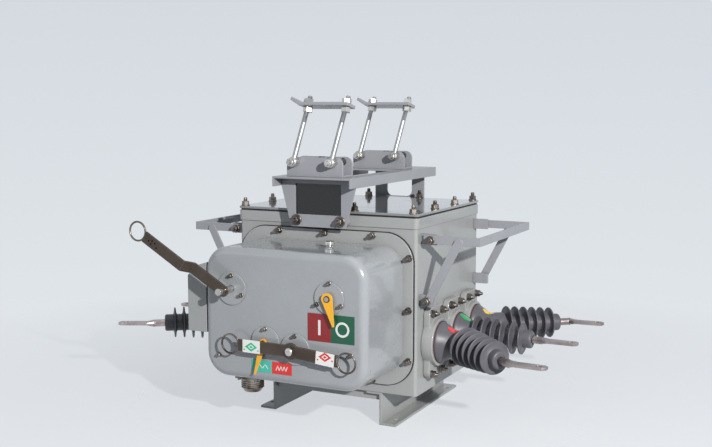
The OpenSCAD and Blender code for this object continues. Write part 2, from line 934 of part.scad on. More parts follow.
// Tabs welded to both walls, behind the ends of the bars and braces
module frame_tabs() {
    tab_y = frame_half_d - frame_bar_t / 2 - tab_t;
    color(bracket_paint)
        for (sx = [-1, 1], sy = [-1, 1])
            scale([sx, sy, 1]) {
                translate([tank_w / 2, tab_y, frame_z - tab_h / 2])
                    cube([tab_reach, tab_t, tab_h]);
                translate([tank_w / 2, tab_y, brace_foot_z - tab_h / 2])
                    cube([tab_reach, tab_t + frame_bar_t, tab_h]);
            }
}

// ---------- feet ----------

// Right foot: a Z-shaped fold with an outward lower flange
module foot() {
    color(paint)
        difference() {
            union() {
                translate([foot_x - foot_t, -foot_length / 2, 0])
                    cube([foot_t, foot_length, foot_h]);
                translate([foot_x - foot_t, -foot_length / 2, 0])
                    cube([foot_flange_w, foot_length, foot_t]);
                translate([foot_x - foot_ledge, -ledge_length / 2, foot_h - foot_t])
                    cube([foot_ledge, ledge_length, foot_t]);
            }
            for (s = [-1, 1])
                translate([foot_x + foot_hole_out,
                        s * foot_hole_pitch / 2, -over])
                    cylinder(r = foot_hole_r, h = foot_t + 2 * over);
        }
}

module cross_members() {
    inner = foot_x - foot_t;
    notch = foot_ledge - foot_t;
    color(paint)
        for (s = [-1, 1])
            translate([-inner, s * (tank_d / 2 - cross_inset) - cross_t / 2,
                    foot_h - cross_h])
                difference() {
                    cube([2 * inner, cross_t, cross_h]);
                    for (x = [-over, 2 * inner - notch])
                        translate([x, -over, cross_h - foot_t])
                            cube([notch + over, cross_t + 2 * over,
                                foot_t + over]);
                }
}

// ---------- hanging bracket ----------

module hanging_bracket() {
    length = bracket_front + bracket_rear;
    under = bracket_top - bracket_t;
    color(bracket_paint)
        difference() {
            union() {
                translate([-bracket_w / 2, -bracket_front, under])
                    cube([bracket_w, length, bracket_t]);
                for (s = [-1, 1])
                    translate([s * (bracket_w - bracket_t) / 2
                            - bracket_t / 2, -bracket_front,
                            bracket_top - bracket_lip])
                        cube([bracket_t, length, bracket_lip]);
            }
            translate([-top_window_w / 2,
                    saddle_front_y + saddle_d + top_window_gap,
                    under - over])
                cube([top_window_w,
                    saddle_pitch - saddle_d - 2 * top_window_gap,
                    bracket_t + 2 * over]);
        }
}

// The two round spacers between the tank's rim and a leg
module leg_spacers(side) {
    for (s = [-1, 1])
        translate([s * spacer_pitch / 2,
                side > 0 ? leg_face : leg_gap - leg_face, spacer_z])
            rotate([90, 0, 0])
                cylinder(r = spacer_r, h = leg_gap);
}

// Tapered front leg with a window, on its spacers
module front_leg() {
    foot_w = leg_w / 2;
    top_w = bracket_w / 2 - bracket_t;
    top_z = bracket_top - bracket_t;
    color(bracket_paint) {
        facing_front([0, 0], -leg_face)
            linear_extrude(bracket_t)
                difference() {
                    polygon([[-foot_w, leg_foot_z], [foot_w, leg_foot_z],
                        [top_w, bracket_top - bracket_lip], [top_w, top_z],
                        [-top_w, top_z],
                        [-top_w, bracket_top - bracket_lip]]);
                    translate([-leg_window_w / 2, leg_window_z])
                        square([leg_window_w, leg_window_h]);
                }
        leg_spacers(-1);
    }
}

module name_panel() {
    w = leg_window_w + 2 * panel_lap;
    h = panel_foot_lap + leg_window_h + panel_lap;
    color("#1f2024")
        translate([-w / 2, -leg_face, panel_foot_z])
            cube([w, panel_t, h]);
}

// Straight rear leg with a round-cornered window, on its spacers
module rear_leg() {
    color(bracket_paint) {
        translate([0, leg_face + bracket_t, 0])
            rotate([90, 0, 0])
                linear_extrude(bracket_t)
                    difference() {
                        translate([-leg_w / 2, leg_foot_z])
                            square([leg_w,
                                bracket_top - bracket_t - leg_foot_z]);
                        translate([0, cover_top + rear_window[1] / 2])
                            round_rect(rear_window[0], rear_window[1],
                                rear_window_r);
                    }
        leg_spacers(1);
    }
}

// ---------- clamps ----------

// Outline of a saddle's upright plate, standing on the bracket
module saddle_outline() {
    r = saddle_r;
    translate([-saddle_w / 2, 0])
        square([saddle_w, saddle_h - r]);
    translate([r - saddle_w / 2, 0])
        square([saddle_w - 2 * r, saddle_h]);
    for (s = [-1, 1])
        translate([s * (saddle_w / 2 - r), saddle_h - r])
            circle(r);
}

// Upright channel with two cross-bolt holes, for the front clamp
module saddle() {
    t = bracket_t;
    color(bracket_paint)
        difference() {
            union() {
                for (y = [saddle_front_y, saddle_front_y + saddle_d - t])
                    translate([0, y + t, bracket_top])
                        rotate([90, 0, 0])
                            linear_extrude(t)
                                saddle_outline();
                translate([-saddle_w / 2, saddle_front_y, bracket_top])
                    cube([saddle_w, saddle_d, t]);
            }
            for (s = [-1, 1])
                facing_front([s * rod_x, pivot_z],
                        saddle_front_y + saddle_d + over)
                    cylinder(r = cross_bolt_r + cross_bolt_play,
                        h = saddle_d + 2 * over);
        }
}

// Cross bolt with its head, washer and nut, axis along Y
module cross_bolt(x) {
    back_y = saddle_front_y + saddle_d;
    tail = cross_head_h + collar_over;
    facing_front([x, pivot_z], back_y + tail)
        cylinder(r = cross_bolt_r,
            h = tail + saddle_d + collar_l + cross_head_h / 2);
    facing_front([x, pivot_z], back_y + cross_head_h)
        hexagon(cross_head_w, cross_head_h);
    facing_front([x, pivot_z], saddle_front_y - collar_l)
        hexagon(cross_head_w, cross_head_h);
    facing_front([x, pivot_z], saddle_front_y)
        cylinder(r = collar_r, h = collar_l);
}

// Leaning rod with the two nuts that hold the clamp bar
module clamp_rod(x) {
    translate([x, pivot_y, pivot_z]) {
        rotate([-lean_back, lean_side, 0])
            cylinder(r = clamp_rod_r, h = clamp_rod_length);
        translate([bar_shift_x, bar_shift_y, bar_shift_z])
            rotate([-lean_back, 0, 0]) {
                translate([0, 0, clamp_bar_t / 2])
                    hexagon(rod_nut_w, rod_nut_h);
                translate([0, 0, -clamp_bar_t / 2 - rod_nut_h])
                    hexagon(rod_nut_w, rod_nut_h);
            }
    }
}

module clamp_rods() {
    color(bright)
        for (s = [-1, 1]) {
            cross_bolt(s * rod_x);
            clamp_rod(s * rod_x);
        }
}

// Side outline of a clamp bar: flat, with its left end bent up
module clamp_bar_outline() {
    t = clamp_bar_t;
    half = rod_x + clamp_bar_end;
    fold = clamp_fold;
    tip = [-half - clamp_wing * cos(fold), clamp_wing * sin(fold) - t / 2];
    polygon([[half, -t / 2], [half, t / 2],
        [-half + t * tan(fold / 2), t / 2],
        tip + t * [sin(fold), cos(fold)], tip,
        [-half, -t / 2]]);
}

// Bent flat bar over both rods
module clamp_bar() {
    color(bracket_paint)
        translate([bar_shift_x, pivot_y + bar_shift_y,
                pivot_z + bar_shift_z])
            rotate([-lean_back, 0, 0])
                difference() {
                    rotate([90, 0, 0])
                        linear_extrude(clamp_bar_w, center = true)
                            clamp_bar_outline();
                    for (s = [-1, 1])
                        translate([s * rod_x, 0, -clamp_bar_t])
                            cylinder(r = clamp_rod_r + clamp_bar_play,
                                h = 2 * clamp_bar_t);
                }
}

module at_rear_saddle() {
    translate([0, saddle_pitch, 0])
        children();
}

// ---------- moving parts ----------

// Cranked lever: shaft, hub, stepped flat bar and ring
module charging_lever() {
    half_w = handle_bar_w / 2;
    bar_end = lever_length - handle_ring_r;
    step_end = lever_step_at + lever_step_run;
    mitre = handle_bar_t / 2;
    bar_back = -handle_bar_t / 2;
    shaft_back = lever_stand + hood_wall + shaft_inside;
    color(bronze)
        translate([charging_at[0], lever_y, charging_at[1]])
            rotate([0, 180 + lever_rest, 0])
                rotate([90, 0, 0]) {
                    translate([0, 0, bar_back])
                        cylinder(r = half_w, h = handle_bar_t);
                    rotate([90, 0, 0])
                        translate([0, 0, -half_w])
                            linear_extrude(2 * half_w)
                                polygon([
                                    [0, bar_back],
                                    [lever_step_at, bar_back],
                                    [step_end, lever_step + bar_back],
                                    [bar_end, lever_step + bar_back],
                                    [bar_end, lever_step - bar_back],
                                    [step_end - mitre,
                                        lever_step - bar_back],
                                    [lever_step_at - mitre, -bar_back],
                                    [0, -bar_back]]);
                    translate([lever_length, 0, lever_step])
                        rotate([90, 0, 0])
                            wire_ring();
                    translate([0, 0, -shaft_back])
                        cylinder(r = charging_shaft_r,
                            h = shaft_back + lever_shaft_out);
                }
}

// One arm of the operating handle, pointing along +X, with its ring
module handle_arm(length) {
    t = handle_bar_t;
    translate([0, -t / 2, -handle_bar_w / 2])
        cube([length - handle_ring_r, t, handle_bar_w]);
    translate([length, 0, 0])
        wire_ring();
}

// Places a shape on the left arm and another on the right one
module on_handle() {
    translate([operating_at[0], handle_y, operating_at[1]]) {
        rotate([0, 180 - handle_drop[0], 0])
            children(0);
        rotate([0, handle_drop[1], 0])
            children(1);
    }
}

// Double handle, slightly bent at its shaft, with a ring at each end
module operating_handle() {
    shaft_back = handle_stand + hood_wall + shaft_inside;
    color(bronze) {
        on_handle() {
            handle_arm(handle_left);
            handle_arm(handle_right);
        }
        facing_front(operating_at, handle_y) {
            translate([0, 0, -handle_bar_t / 2])
                cylinder(r = handle_hub_r, h = handle_bar_t);
            translate([0, 0, -shaft_back])
                cylinder(r = operating_shaft_r,
                    h = shaft_back + handle_shaft_out);
        }
    }
}

// Thin plate on the front of an arm
module arm_label(x) {
    translate([x - label_l / 2, -handle_bar_t / 2 - label_t,
            -handle_bar_w / 2 - label_lap])
        cube([label_l, label_t, handle_bar_w + 2 * label_lap]);
}

module handle_labels() {
    color("white")
        on_handle() {
            arm_label(handle_left - left_label_in);
            arm_label(handle_right - right_label_in);
        }
}

// Pointer hanging from a shaft: a round head tapering to its tip
module pointer(at, length, lean, head_r) {
    color(yellow)
        translate([at[0], pointer_y, at[1]])
            rotate([0, lean, 0])
                rotate([90, 0, 0]) {
                    linear_extrude(pointer_t) {
                        circle(head_r);
                        polygon([[-head_r, 0], [head_r, 0],
                            [pointer_tip, -length],
                            [-pointer_tip, -length]]);
                    }
                    translate([0, 0, pointer_y - shaft_in_y])
                        cylinder(r = pointer_shaft_r,
                            h = shaft_in_y - pointer_y + pointer_t
                                + pointer_hub_out);
                }
}

module position_pointer() {
    pointer(position_at, position_pointer_length,
        -position_pointer_lean, position_head_r);
}
module charge_pointer() {
    pointer(charge_at, charge_pointer_length,
        charge_pointer_lean, charge_head_r);
}

// ---------- every node ----------

tank();
top_cover();
gaskets();
mechanism_flange();
mechanism_housing();
shaft_bosses();
indicator_plates();
breather();
cable_connector();
side_box();
color(paint) on_left() bushing_flanges();  // left_bushing_flanges
color(paint) bushing_flanges();  // right_bushing_flanges
on_left() at_front() outer_insulator();  // left_front_insulator
on_left() middle_insulator();  // left_middle_insulator
on_left() outer_insulator();  // left_rear_insulator
at_front() outer_insulator();  // right_front_insulator
middle_insulator();  // right_middle_insulator
outer_insulator();  // right_rear_insulator
on_left() at_front() outer_terminal(left_palm_turn);  // left_front_terminal
on_left() middle_terminal();  // left_middle_terminal
on_left() outer_terminal(left_palm_turn);  // left_rear_terminal
at_front() outer_terminal(right_palm_turn);  // right_front_terminal
middle_terminal();  // right_middle_terminal
outer_terminal(right_palm_turn);  // right_rear_terminal
on_left() side_frame();  // left_side_frame
side_frame();  // right_side_frame
frame_tabs();
on_left() foot();  // left_foot
foot();  // right_foot
cross_members();
hanging_bracket();
front_leg();
rear_leg();
name_panel();
saddle();  // front_saddle
at_rear_saddle() saddle();  // rear_saddle
clamp_rods();  // front_clamp_rods
at_rear_saddle() clamp_rods();  // rear_clamp_rods
clamp_bar();  // front_clamp_bar
at_rear_saddle() clamp_bar();  // rear_clamp_bar
charging_lever();
operating_handle();
handle_labels();
position_pointer();
charge_pointer();
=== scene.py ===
# %% [markdown]
# A pole-top vacuum circuit breaker. A grey steel tank holds three switching
# chambers, and six rubber bushings carry the line in and out through its
# sides. A drawn hood on the front hides the spring mechanism, with a lever to
# charge it, a double handle to trip it and two pointers to tell its state.
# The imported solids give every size. This script dresses them: it rounds their
# edges, adds bolts, labels and threads, and gives each surface its finish.

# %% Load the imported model
import json
import math
import random

import bmesh
import bpy
from mathutils import Matrix, Vector


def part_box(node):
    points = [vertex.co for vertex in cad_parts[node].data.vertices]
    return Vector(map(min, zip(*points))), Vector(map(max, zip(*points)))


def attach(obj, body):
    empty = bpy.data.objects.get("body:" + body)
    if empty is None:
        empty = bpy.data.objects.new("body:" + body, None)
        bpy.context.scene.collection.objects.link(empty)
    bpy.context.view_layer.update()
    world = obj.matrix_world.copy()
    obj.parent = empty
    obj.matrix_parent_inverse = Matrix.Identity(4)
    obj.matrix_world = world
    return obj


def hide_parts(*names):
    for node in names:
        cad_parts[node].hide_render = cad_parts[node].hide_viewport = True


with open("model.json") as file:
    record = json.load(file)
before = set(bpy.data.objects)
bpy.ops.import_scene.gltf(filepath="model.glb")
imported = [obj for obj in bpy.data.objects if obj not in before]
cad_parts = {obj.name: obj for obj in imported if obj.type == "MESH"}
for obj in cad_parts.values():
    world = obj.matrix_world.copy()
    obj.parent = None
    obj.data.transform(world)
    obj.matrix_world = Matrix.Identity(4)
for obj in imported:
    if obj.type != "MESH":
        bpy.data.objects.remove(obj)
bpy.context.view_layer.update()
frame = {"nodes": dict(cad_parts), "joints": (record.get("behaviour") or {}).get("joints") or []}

# %% [markdown]
# Everything is placed from the solids, so a change of size in the source
# carries over. These few planes and centres are used again and again.

# %% Planes and centres
MM = 0.001


def low(node):
    return Vector(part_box(node)[0])


def high(node):
    return Vector(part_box(node)[1])


def middle(node):
    return (low(node) + high(node)) / 2


JOINT = {j["name"]: Vector(j["pos_m"]) for j in frame["joints"]}
charging_axis = JOINT["charging_lever_swing"]
operating_axis = JOINT["operating_handle_swing"]
position_axis = JOINT["position_pointer_swing"]
charge_axis = JOINT["charge_pointer_swing"]

WALL_RING_R, EAR_PLATE = 0.057, 0.017
wall_x = low("right_bushing_flanges").x
ear_face = wall_x + EAR_PLATE
ring_face = high("right_bushing_flanges").x
cover_top = high("top_cover").z
flange_face = low("mechanism_flange").y
hood_face = low("mechanism_housing").y
boss_face = low("shaft_bosses").y
bushing_z = middle("right_bushing_flanges").z
phase_pitch = high("right_bushing_flanges").y - WALL_RING_R
PHASES = {-1: "front", 0: "middle", 1: "rear"}
SIDES = {-1: "left", 1: "right"}
print("wall at", round(wall_x, 4), "hood face at", round(hood_face, 4))

# %% [markdown]
# The camera comes first. It stands to the right of the front, a little above
# the tank, and looks slightly down, so that the front, the right side and the
# top all show.

# %% Camera
CAMERA_AT = Vector((1.17604, -2.40256, 0.75976))
AZIMUTH, FALL = math.radians(26.42), math.radians(6.49)
FOCAL_PER_WIDTH, SENSOR = 1050.04 / 712, 36.0

camera_data = bpy.data.cameras.new("camera")
camera_data.sensor_width = SENSOR
camera_data.lens = FOCAL_PER_WIDTH * SENSOR
camera = bpy.data.objects.new("camera", camera_data)
bpy.context.scene.collection.objects.link(camera)
look = Vector((-math.sin(AZIMUTH) * math.cos(FALL),
               math.cos(AZIMUTH) * math.cos(FALL), -math.sin(FALL)))
camera.location = CAMERA_AT
camera.rotation_euler = look.to_track_quat("-Z", "Y").to_euler()
bpy.context.scene.camera = camera
bpy.context.scene.view_settings.view_transform = "Standard"
print("lens", round(camera_data.lens, 2), "mm")

# %% [markdown]
# A finish is a small tree of nodes. Two short helpers keep the trees
# readable: one adds a node with its settings, the other reads the place of a
# point on the object, so that a pattern stays put when the camera moves.

# %% Helpers for finishes


def add(tree, kind, settings=None, **inputs):
    node = tree.nodes.new(kind)
    for key, value in (settings or {}).items():
        setattr(node, key, value)
    for key, value in inputs.items():
        socket = node.inputs[int(key[1:]) if key[1:].isdigit()
                             else key.replace("_", " ")]
        if isinstance(value, bpy.types.NodeSocket):
            tree.links.new(value, socket)
        else:
            socket.default_value = value
    return node


def grain(tree, scale, detail=3.0, roughness=0.55, stretch=None):
    place = add(tree, "ShaderNodeTexCoord").outputs["Object"]
    if stretch:
        place = add(tree, "ShaderNodeMapping", Vector=place,
                    Scale=stretch).outputs[0]
    return add(tree, "ShaderNodeTexNoise", Vector=place, Scale=scale,
               Detail=detail, Roughness=roughness).outputs[0]


def remap(tree, value, from_lo, from_hi, to_lo, to_hi):
    return add(tree, "ShaderNodeMapRange", {"clamp": True}, Value=value,
               From_Min=from_lo, From_Max=from_hi, To_Min=to_lo,
               To_Max=to_hi).outputs[0]


def times(tree, a, b):
    return add(tree, "ShaderNodeMath", {"operation": "MULTIPLY"},
               _0=a, _1=b).outputs[0]


def mixed(tree, amount, a, b, how="MIX"):
    node = add(tree, "ShaderNodeMix", {"data_type": "RGBA",
                                       "blend_type": how})
    for index, value in ((0, amount), (6, a), (7, b)):
        if isinstance(value, bpy.types.NodeSocket):
            tree.links.new(value, node.inputs[index])
        else:
            node.inputs[index].default_value = value
    return node.outputs[2]


def rgb(hex_code):
    """A screen colour such as a4a7a5 as the linear colour shaders use."""
    out = []
    for i in (0, 2, 4):
        c = int(hex_code[i:i + 2], 16) / 255
        out.append(c / 12.92 if c <= 0.04045 else ((c + 0.055) / 1.055) ** 2.4)
    return (*out, 1.0)


def new_finish(name, **sockets):
    material = bpy.data.materials.new(name)
    material.use_nodes = True
    tree = material.node_tree
    shader = tree.nodes["Principled BSDF"]
    for key, value in sockets.items():
        shader.inputs[key.replace("_", " ")].default_value = value
    return material, tree, shader


def bumped(tree, shader, layers):
    """Stack bumps: each layer is a height, a distance and a strength."""
    normal = None
    for height, distance, strength in layers:
        bump = add(tree, "ShaderNodeBump", Height=height,
                   Distance=distance, Strength=strength)
        if normal:
            tree.links.new(normal, bump.inputs["Normal"])
        normal = bump.outputs[0]
    tree.links.new(normal, shader.inputs["Normal"])


# %% [markdown]
# Most of the breaker is sprayed steel. Sprayed paint is never one flat
# colour: the coat is a little lighter here and there, dust lies on what faces
# up, and the skin has a fine orange peel over slightly wavy sheet. Corners and
# recesses that an occlusion test finds are darkened with painted shade. Three
# grades share this recipe: the tank, the glossier hood, and the bluish bracket
# steel.

# %% Sprayed paint
DUST = rgb("b9b6ae")
# Dark brown of the painted shade in corners and recesses.
PAINTED_CORNER_SHADE = rgb("3f3a33")


def paint(name, colour, gloss, coat, peel=0.14, dust=0.16):
    material, tree, shader = new_finish(
        name, Coat_Weight=coat, Coat_Roughness=0.07, IOR=1.5)
    cloud = remap(tree, grain(tree, 5, 4), 0.3, 0.7, 0.95, 1.04)
    fine = remap(tree, grain(tree, 60, 3), 0.3, 0.7, 0.985, 1.015)
    tone = times(tree, cloud, fine)
    tint = mixed(tree, 1.0, rgb(colour), tone, "MULTIPLY")
    normal = add(tree, "ShaderNodeNewGeometry").outputs["Normal"]
    up = add(tree, "ShaderNodeSeparateXYZ", Vector=normal).outputs["Z"]
    lying = times(tree, remap(tree, up, 0.55, 1.0, 0.0, dust),
                  remap(tree, grain(tree, 16, 5), 0.35, 0.65, 0.3, 1.0))
    dusty = mixed(tree, lying, tint, DUST)
    # Painted shade: what the occlusion test finds in corners and recesses is darkened, broken up
    # by noise.
    hollow = add(tree, "ShaderNodeAmbientOcclusion", {"samples": 6},
                 Distance=0.022).outputs["AO"]
    corner = times(tree, remap(tree, hollow, 0.25, 0.85, 0.42, 0.0),
                   remap(tree, grain(tree, 30, 4), 0.3, 0.7, 0.5, 1.0))
    tree.links.new(mixed(tree, corner, dusty, PAINTED_CORNER_SHADE),
                   shader.inputs["Base Color"])
    rough = remap(tree, grain(tree, 14, 4), 0.3, 0.7, gloss - 0.05,
                  gloss + 0.07)
    tree.links.new(rough, shader.inputs["Roughness"])
    bumped(tree, shader, [(grain(tree, 7, 1), 0.004, 0.10),
                          (grain(tree, 380, 2), 0.0003, peel)])
    return material


tank_paint = paint("tank_paint", "9a9c9c", 0.34, 0.35, dust=0.12)
hood_paint = paint("hood_paint", "999da1", 0.28, 0.8, peel=0.03, dust=0.04)
cover_paint = paint("cover_paint", "7f8184", 0.14, 1.0, peel=0.03, dust=0.05)
bracket_paint = paint("bracket_paint", "92949a", 0.38, 0.3, dust=0.14)
print("paints ready")

# %% [markdown]
# Dull zinc for the bolts, stainless for the clamp rods and shaft ends, chrome
# for the breather and cast steel for the cable connector. The terminals are
# tinned copper, a little pink and brown. A bronze lacquer covers the handle
# and the lever, rubbed through to lighter metal along the edges.

# %% Metals


def metal(name, light, dark, rough, stain_scale=22, streak=None):
    material, tree, shader = new_finish(name, Metallic=1.0)
    stain = remap(tree, grain(tree, stain_scale, 5), 0.36, 0.66, 0.0, 1.0)
    tree.links.new(mixed(tree, stain, rgb(light), rgb(dark)),
                   shader.inputs["Base Color"])
    tree.links.new(remap(tree, grain(tree, 45, 4, stretch=streak), 0.3, 0.7,
                         rough - 0.07, rough + 0.12),
                   shader.inputs["Roughness"])
    bumped(tree, shader, [(grain(tree, 260, 3, stretch=streak),
                           0.0002, 0.16)])
    return material


bright_steel = metal("bright_steel", "dcdad6", "b5b1ab", 0.27)
rod_steel = metal("rod_steel", "bdbec0", "939395", 0.42)
tinned_copper = metal("tinned_copper", "c3b6b2", "85797a", 0.36,
                      stain_scale=16, streak=(0.4, 1.0, 1.0))
cast_steel = metal("cast_steel", "b4aca2", "5a5048", 0.22, stain_scale=45)
chrome = metal("chrome", "e2e0dc", "c4c0ba", 0.14)
dull_zinc = metal("dull_zinc", "8f8780", "4d4742", 0.36)


def lacquer(name, body_hex, rubbed_hex):
    material, tree, shader = new_finish(name, Metallic=0.75)
    geometry = add(tree, "ShaderNodeNewGeometry").outputs["Normal"]
    rounded = add(tree, "ShaderNodeBevel", {"samples": 4},
                  Radius=0.0016).outputs[0]
    same = add(tree, "ShaderNodeVectorMath", {"operation": "DOT_PRODUCT"},
               _0=geometry, _1=rounded).outputs["Value"]
    edge = times(tree, remap(tree, same, 0.995, 0.93, 0.0, 1.0),
                 remap(tree, grain(tree, 90, 4), 0.4, 0.6, 0.15, 0.85))
    cloud = remap(tree, grain(tree, 20, 4), 0.3, 0.7, 0.82, 1.2)
    tint = mixed(tree, 1.0, rgb(body_hex), cloud, "MULTIPLY")
    tree.links.new(mixed(tree, edge, tint, rgb(rubbed_hex)),
                   shader.inputs["Base Color"])
    tree.links.new(remap(tree, grain(tree, 35, 4), 0.3, 0.7, 0.34, 0.52),
                   shader.inputs["Roughness"])
    bumped(tree, shader, [(grain(tree, 300, 3), 0.0002, 0.2)])
    return material


bronze_lacquer = lacquer("bronze_lacquer", "554a43", "9a9086")
print("metals ready")

# %% [markdown]
# The bushings are silicone rubber: dark, softly shining, with a pale bloom of
# dust that clings to it. The seals under lid and flange are matt black rubber.

# %% Rubber


def rubber(name, colour, bloom_hex, rough, bloom):
    material, tree, shader = new_finish(name, Specular_IOR_Level=0.45)
    patch = times(tree, remap(tree, grain(tree, 18, 5), 0.35, 0.7, 0.1, 1.0),
                  bloom)
    tree.links.new(mixed(tree, patch, rgb(colour), rgb(bloom_hex)),
                   shader.inputs["Base Color"])
    tree.links.new(remap(tree, grain(tree, 40, 3), 0.3, 0.7, rough - 0.06,
                         rough + 0.10), shader.inputs["Roughness"])
    bumped(tree, shader, [(grain(tree, 420, 3), 0.0002, 0.15)])
    return material


silicone = rubber("silicone", "4b4a50", "85858c", 0.40, 0.28)
seal_rubber = rubber("seal_rubber", "1b1b1c", "45423e", 0.65, 0.3)
print("rubbers ready")

# %% [markdown]
# Plates, labels and pointers are plastic or enamel: one bright colour with a
# faint mottle and fine scratches, so they don't look printed on air.

# %% Enamels


def enamel(name, colour, rough=0.35, coat=0.3):
    material, tree, shader = new_finish(name, Coat_Weight=coat,
                                        Coat_Roughness=0.1)
    cloud = remap(tree, grain(tree, 35, 4), 0.3, 0.7, 0.93, 1.05)
    tree.links.new(mixed(tree, 1.0, rgb(colour), cloud, "MULTIPLY"),
                   shader.inputs["Base Color"])
    scratch = grain(tree, 160, 4, stretch=(1.0, 1.0, 7.0))
    tree.links.new(remap(tree, scratch, 0.3, 0.7, rough - 0.06, rough + 0.1),
                   shader.inputs["Roughness"])
    bumped(tree, shader, [(scratch, 0.0001, 0.08)])
    return material


dark_panel = enamel("dark_panel", "0e0f11", 0.22, 0.35)
label_white = enamel("label_white", "e6e7e4", 0.42)
plate_red = enamel("plate_red", "d8302c", 0.34)
plate_green = enamel("plate_green", "07523a", 0.34)
plate_teal = enamel("plate_teal", "3fb7a4", 0.34)
mark_red = enamel("mark_red", "cf2f33", 0.4)
mark_green = enamel("mark_green", "1fb58a", 0.4)
mark_yellow = enamel("mark_yellow", "eec22c", 0.4)
mark_pale = enamel("mark_pale", "dcdedd", 0.4)
pointer_yellow = enamel("pointer_yellow", "efae1c", 0.28, 0.5)
gasket_red = enamel("gasket_red", "4c1712", 0.6, 0.0)
mark_dark_red = enamel("mark_dark_red", "86191c", 0.34)
sticker_red = enamel("sticker_red", "e0252f", 0.2, 1.0)
sticker_green = enamel("sticker_green", "12a052", 0.2, 1.0)
sticker_yellow = enamel("sticker_yellow", "f0c21c", 0.2, 1.0)
print("enamels ready")

# %% [markdown]
# The floor is a pale disc that fades out before it meets the backdrop, so no
# horizon shows. The backdrop is a soft vertical gradient that only the camera
# and the mirrors see; everything else is lit by a faint pale sky and three
# lamps: a small key from the front right that draws crisp shadows, a wide soft
# one overhead, and a weak fill from the left.

# %% Floor, backdrop and lamps
BACK_HIGH, BACK_LOW = rgb("d3d9df"), rgb("e6eaee")
FLOOR_RADIUS = 4.0


def make_floor():
    bm = bmesh.new()
    bmesh.ops.create_circle(bm, cap_ends=True, segments=64,
                            radius=FLOOR_RADIUS)
    mesh = bpy.data.meshes.new("floor")
    bm.to_mesh(mesh)
    bm.free()
    floor = bpy.data.objects.new("floor", mesh)
    bpy.context.scene.collection.objects.link(floor)
    material, tree, shader = new_finish("floor_paper", Roughness=0.9)
    shader.inputs["Specular IOR Level"].default_value = 0.1
    tree.links.new(mixed(tree, remap(tree, grain(tree, 3, 3), 0.3, 0.7,
                                     0.0, 1.0), rgb("eef1f4"),
                         rgb("f2f4f6")), shader.inputs["Base Color"])
    place = add(tree, "ShaderNodeTexCoord").outputs["Object"]
    far = add(tree, "ShaderNodeVectorMath", {"operation": "LENGTH"},
              _0=place).outputs["Value"]
    fade = remap(tree, far, 0.55, 1.7, 0.28, 0.0)
    tree.links.new(fade, shader.inputs["Alpha"])
    mesh.materials.append(material)


def make_world():
    world = bpy.data.worlds.new("studio")
    world.use_nodes = True
    bpy.context.scene.world = world
    tree = world.node_tree
    out = tree.nodes["World Output"]
    plain = tree.nodes["Background"]
    plain.inputs["Color"].default_value = rgb("dde3ec")
    plain.inputs["Strength"].default_value = 0.27
    way = add(tree, "ShaderNodeTexCoord").outputs["Generated"]
    rise = add(tree, "ShaderNodeSeparateXYZ", Vector=way).outputs["Z"]
    shown = add(tree, "ShaderNodeBackground", Color=mixed(
        tree, remap(tree, rise, -0.33, 0.12, 0.0, 1.0), BACK_LOW,
        BACK_HIGH))
    ray = add(tree, "ShaderNodeLightPath").outputs
    seen = add(tree, "ShaderNodeMath", {"operation": "MAXIMUM"},
               _0=ray["Is Camera Ray"], _1=ray["Is Glossy Ray"]).outputs[0]
    seen = add(tree, "ShaderNodeMath", {"operation": "MAXIMUM"},
               _0=seen, _1=ray["Is Transmission Ray"]).outputs[0]
    both = add(tree, "ShaderNodeMixShader", _0=seen,
               _1=plain.outputs[0], _2=shown.outputs[0])
    tree.links.new(both.outputs[0], out.inputs["Surface"])


def lamp(name, toward, distance, size, watts, colour=(1, 1, 1)):
    data = bpy.data.lights.new(name, "AREA")
    data.shape, data.size, data.energy = "DISK", size, watts
    data.color = colour
    obj = bpy.data.objects.new(name, data)
    bpy.context.scene.collection.objects.link(obj)
    toward = Vector(toward).normalized()
    obj.location = Vector((0, -0.05, 0.35)) + toward * distance
    obj.rotation_euler = toward.to_track_quat("Z", "Y").to_euler()


make_floor()
make_world()
lamp("key", (0.704, -0.622, 0.344), 4.0, 0.10, 190, (1.0, 0.985, 0.955))
lamp("overhead", (0.05, -0.25, 1.0), 2.6, 2.2, 7, (0.93, 0.96, 1.0))
lamp("fill", (-0.75, -0.75, 0.35), 3.5, 1.8, 4, (0.9, 0.95, 1.0))
print("stage ready")

# %% [markdown]
# Each finished piece is one object at the origin, with its place in its mesh.
# It takes smooth shading with sharp creases and rides on a body.

# %% Finishing a piece


def piece(name, bm, body, slot, *finishes, crease=38, replaces=()):
    mesh = bpy.data.meshes.new(name)
    for face in bm.faces:
        face.smooth = True
    bm.to_mesh(mesh)
    bm.free()
    mesh.set_sharp_from_angle(angle=math.radians(crease))
    obj = bpy.data.objects.new(name, mesh)
    bpy.context.scene.collection.objects.link(obj)
    for finish in finishes:
        mesh.materials.append(finish)
    weighted = obj.modifiers.new("face_weights", "WEIGHTED_NORMAL")
    weighted.keep_sharp = True
    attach(obj, body)
    if replaces:
        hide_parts(*replaces)
    print(name, len(mesh.polygons), "faces on", body)
    return obj


# %% [markdown]
# Real steel has no knife edges. A copy of a solid is welded into one skin,
# its flat regions are joined again, and every corner gets a narrow bevel that
# catches the light. The bevel only takes material away, so no size grows.

# %% Softening the solids


def skin(node):
    bm = bmesh.new()
    bm.from_mesh(frame["nodes"][node].data)
    bmesh.ops.remove_doubles(bm, verts=bm.verts, dist=1e-5)
    bmesh.ops.dissolve_limit(bm, angle_limit=math.radians(0.4),
                             verts=bm.verts, edges=bm.edges)
    return bm


def corners(bm, angle=32, where=None):
    limit = math.radians(angle)
    return [e for e in bm.edges if len(e.link_faces) == 2
            and e.calc_face_angle() > limit and (not where or where(e))]


def soften(bm, width, edges=None, segments=2):
    bmesh.ops.bevel(bm, geom=edges or corners(bm), offset=width * MM,
                    offset_type="OFFSET", segments=segments, profile=0.5,
                    affect="EDGES", clamp_overlap=False, material=-1)
    return bm


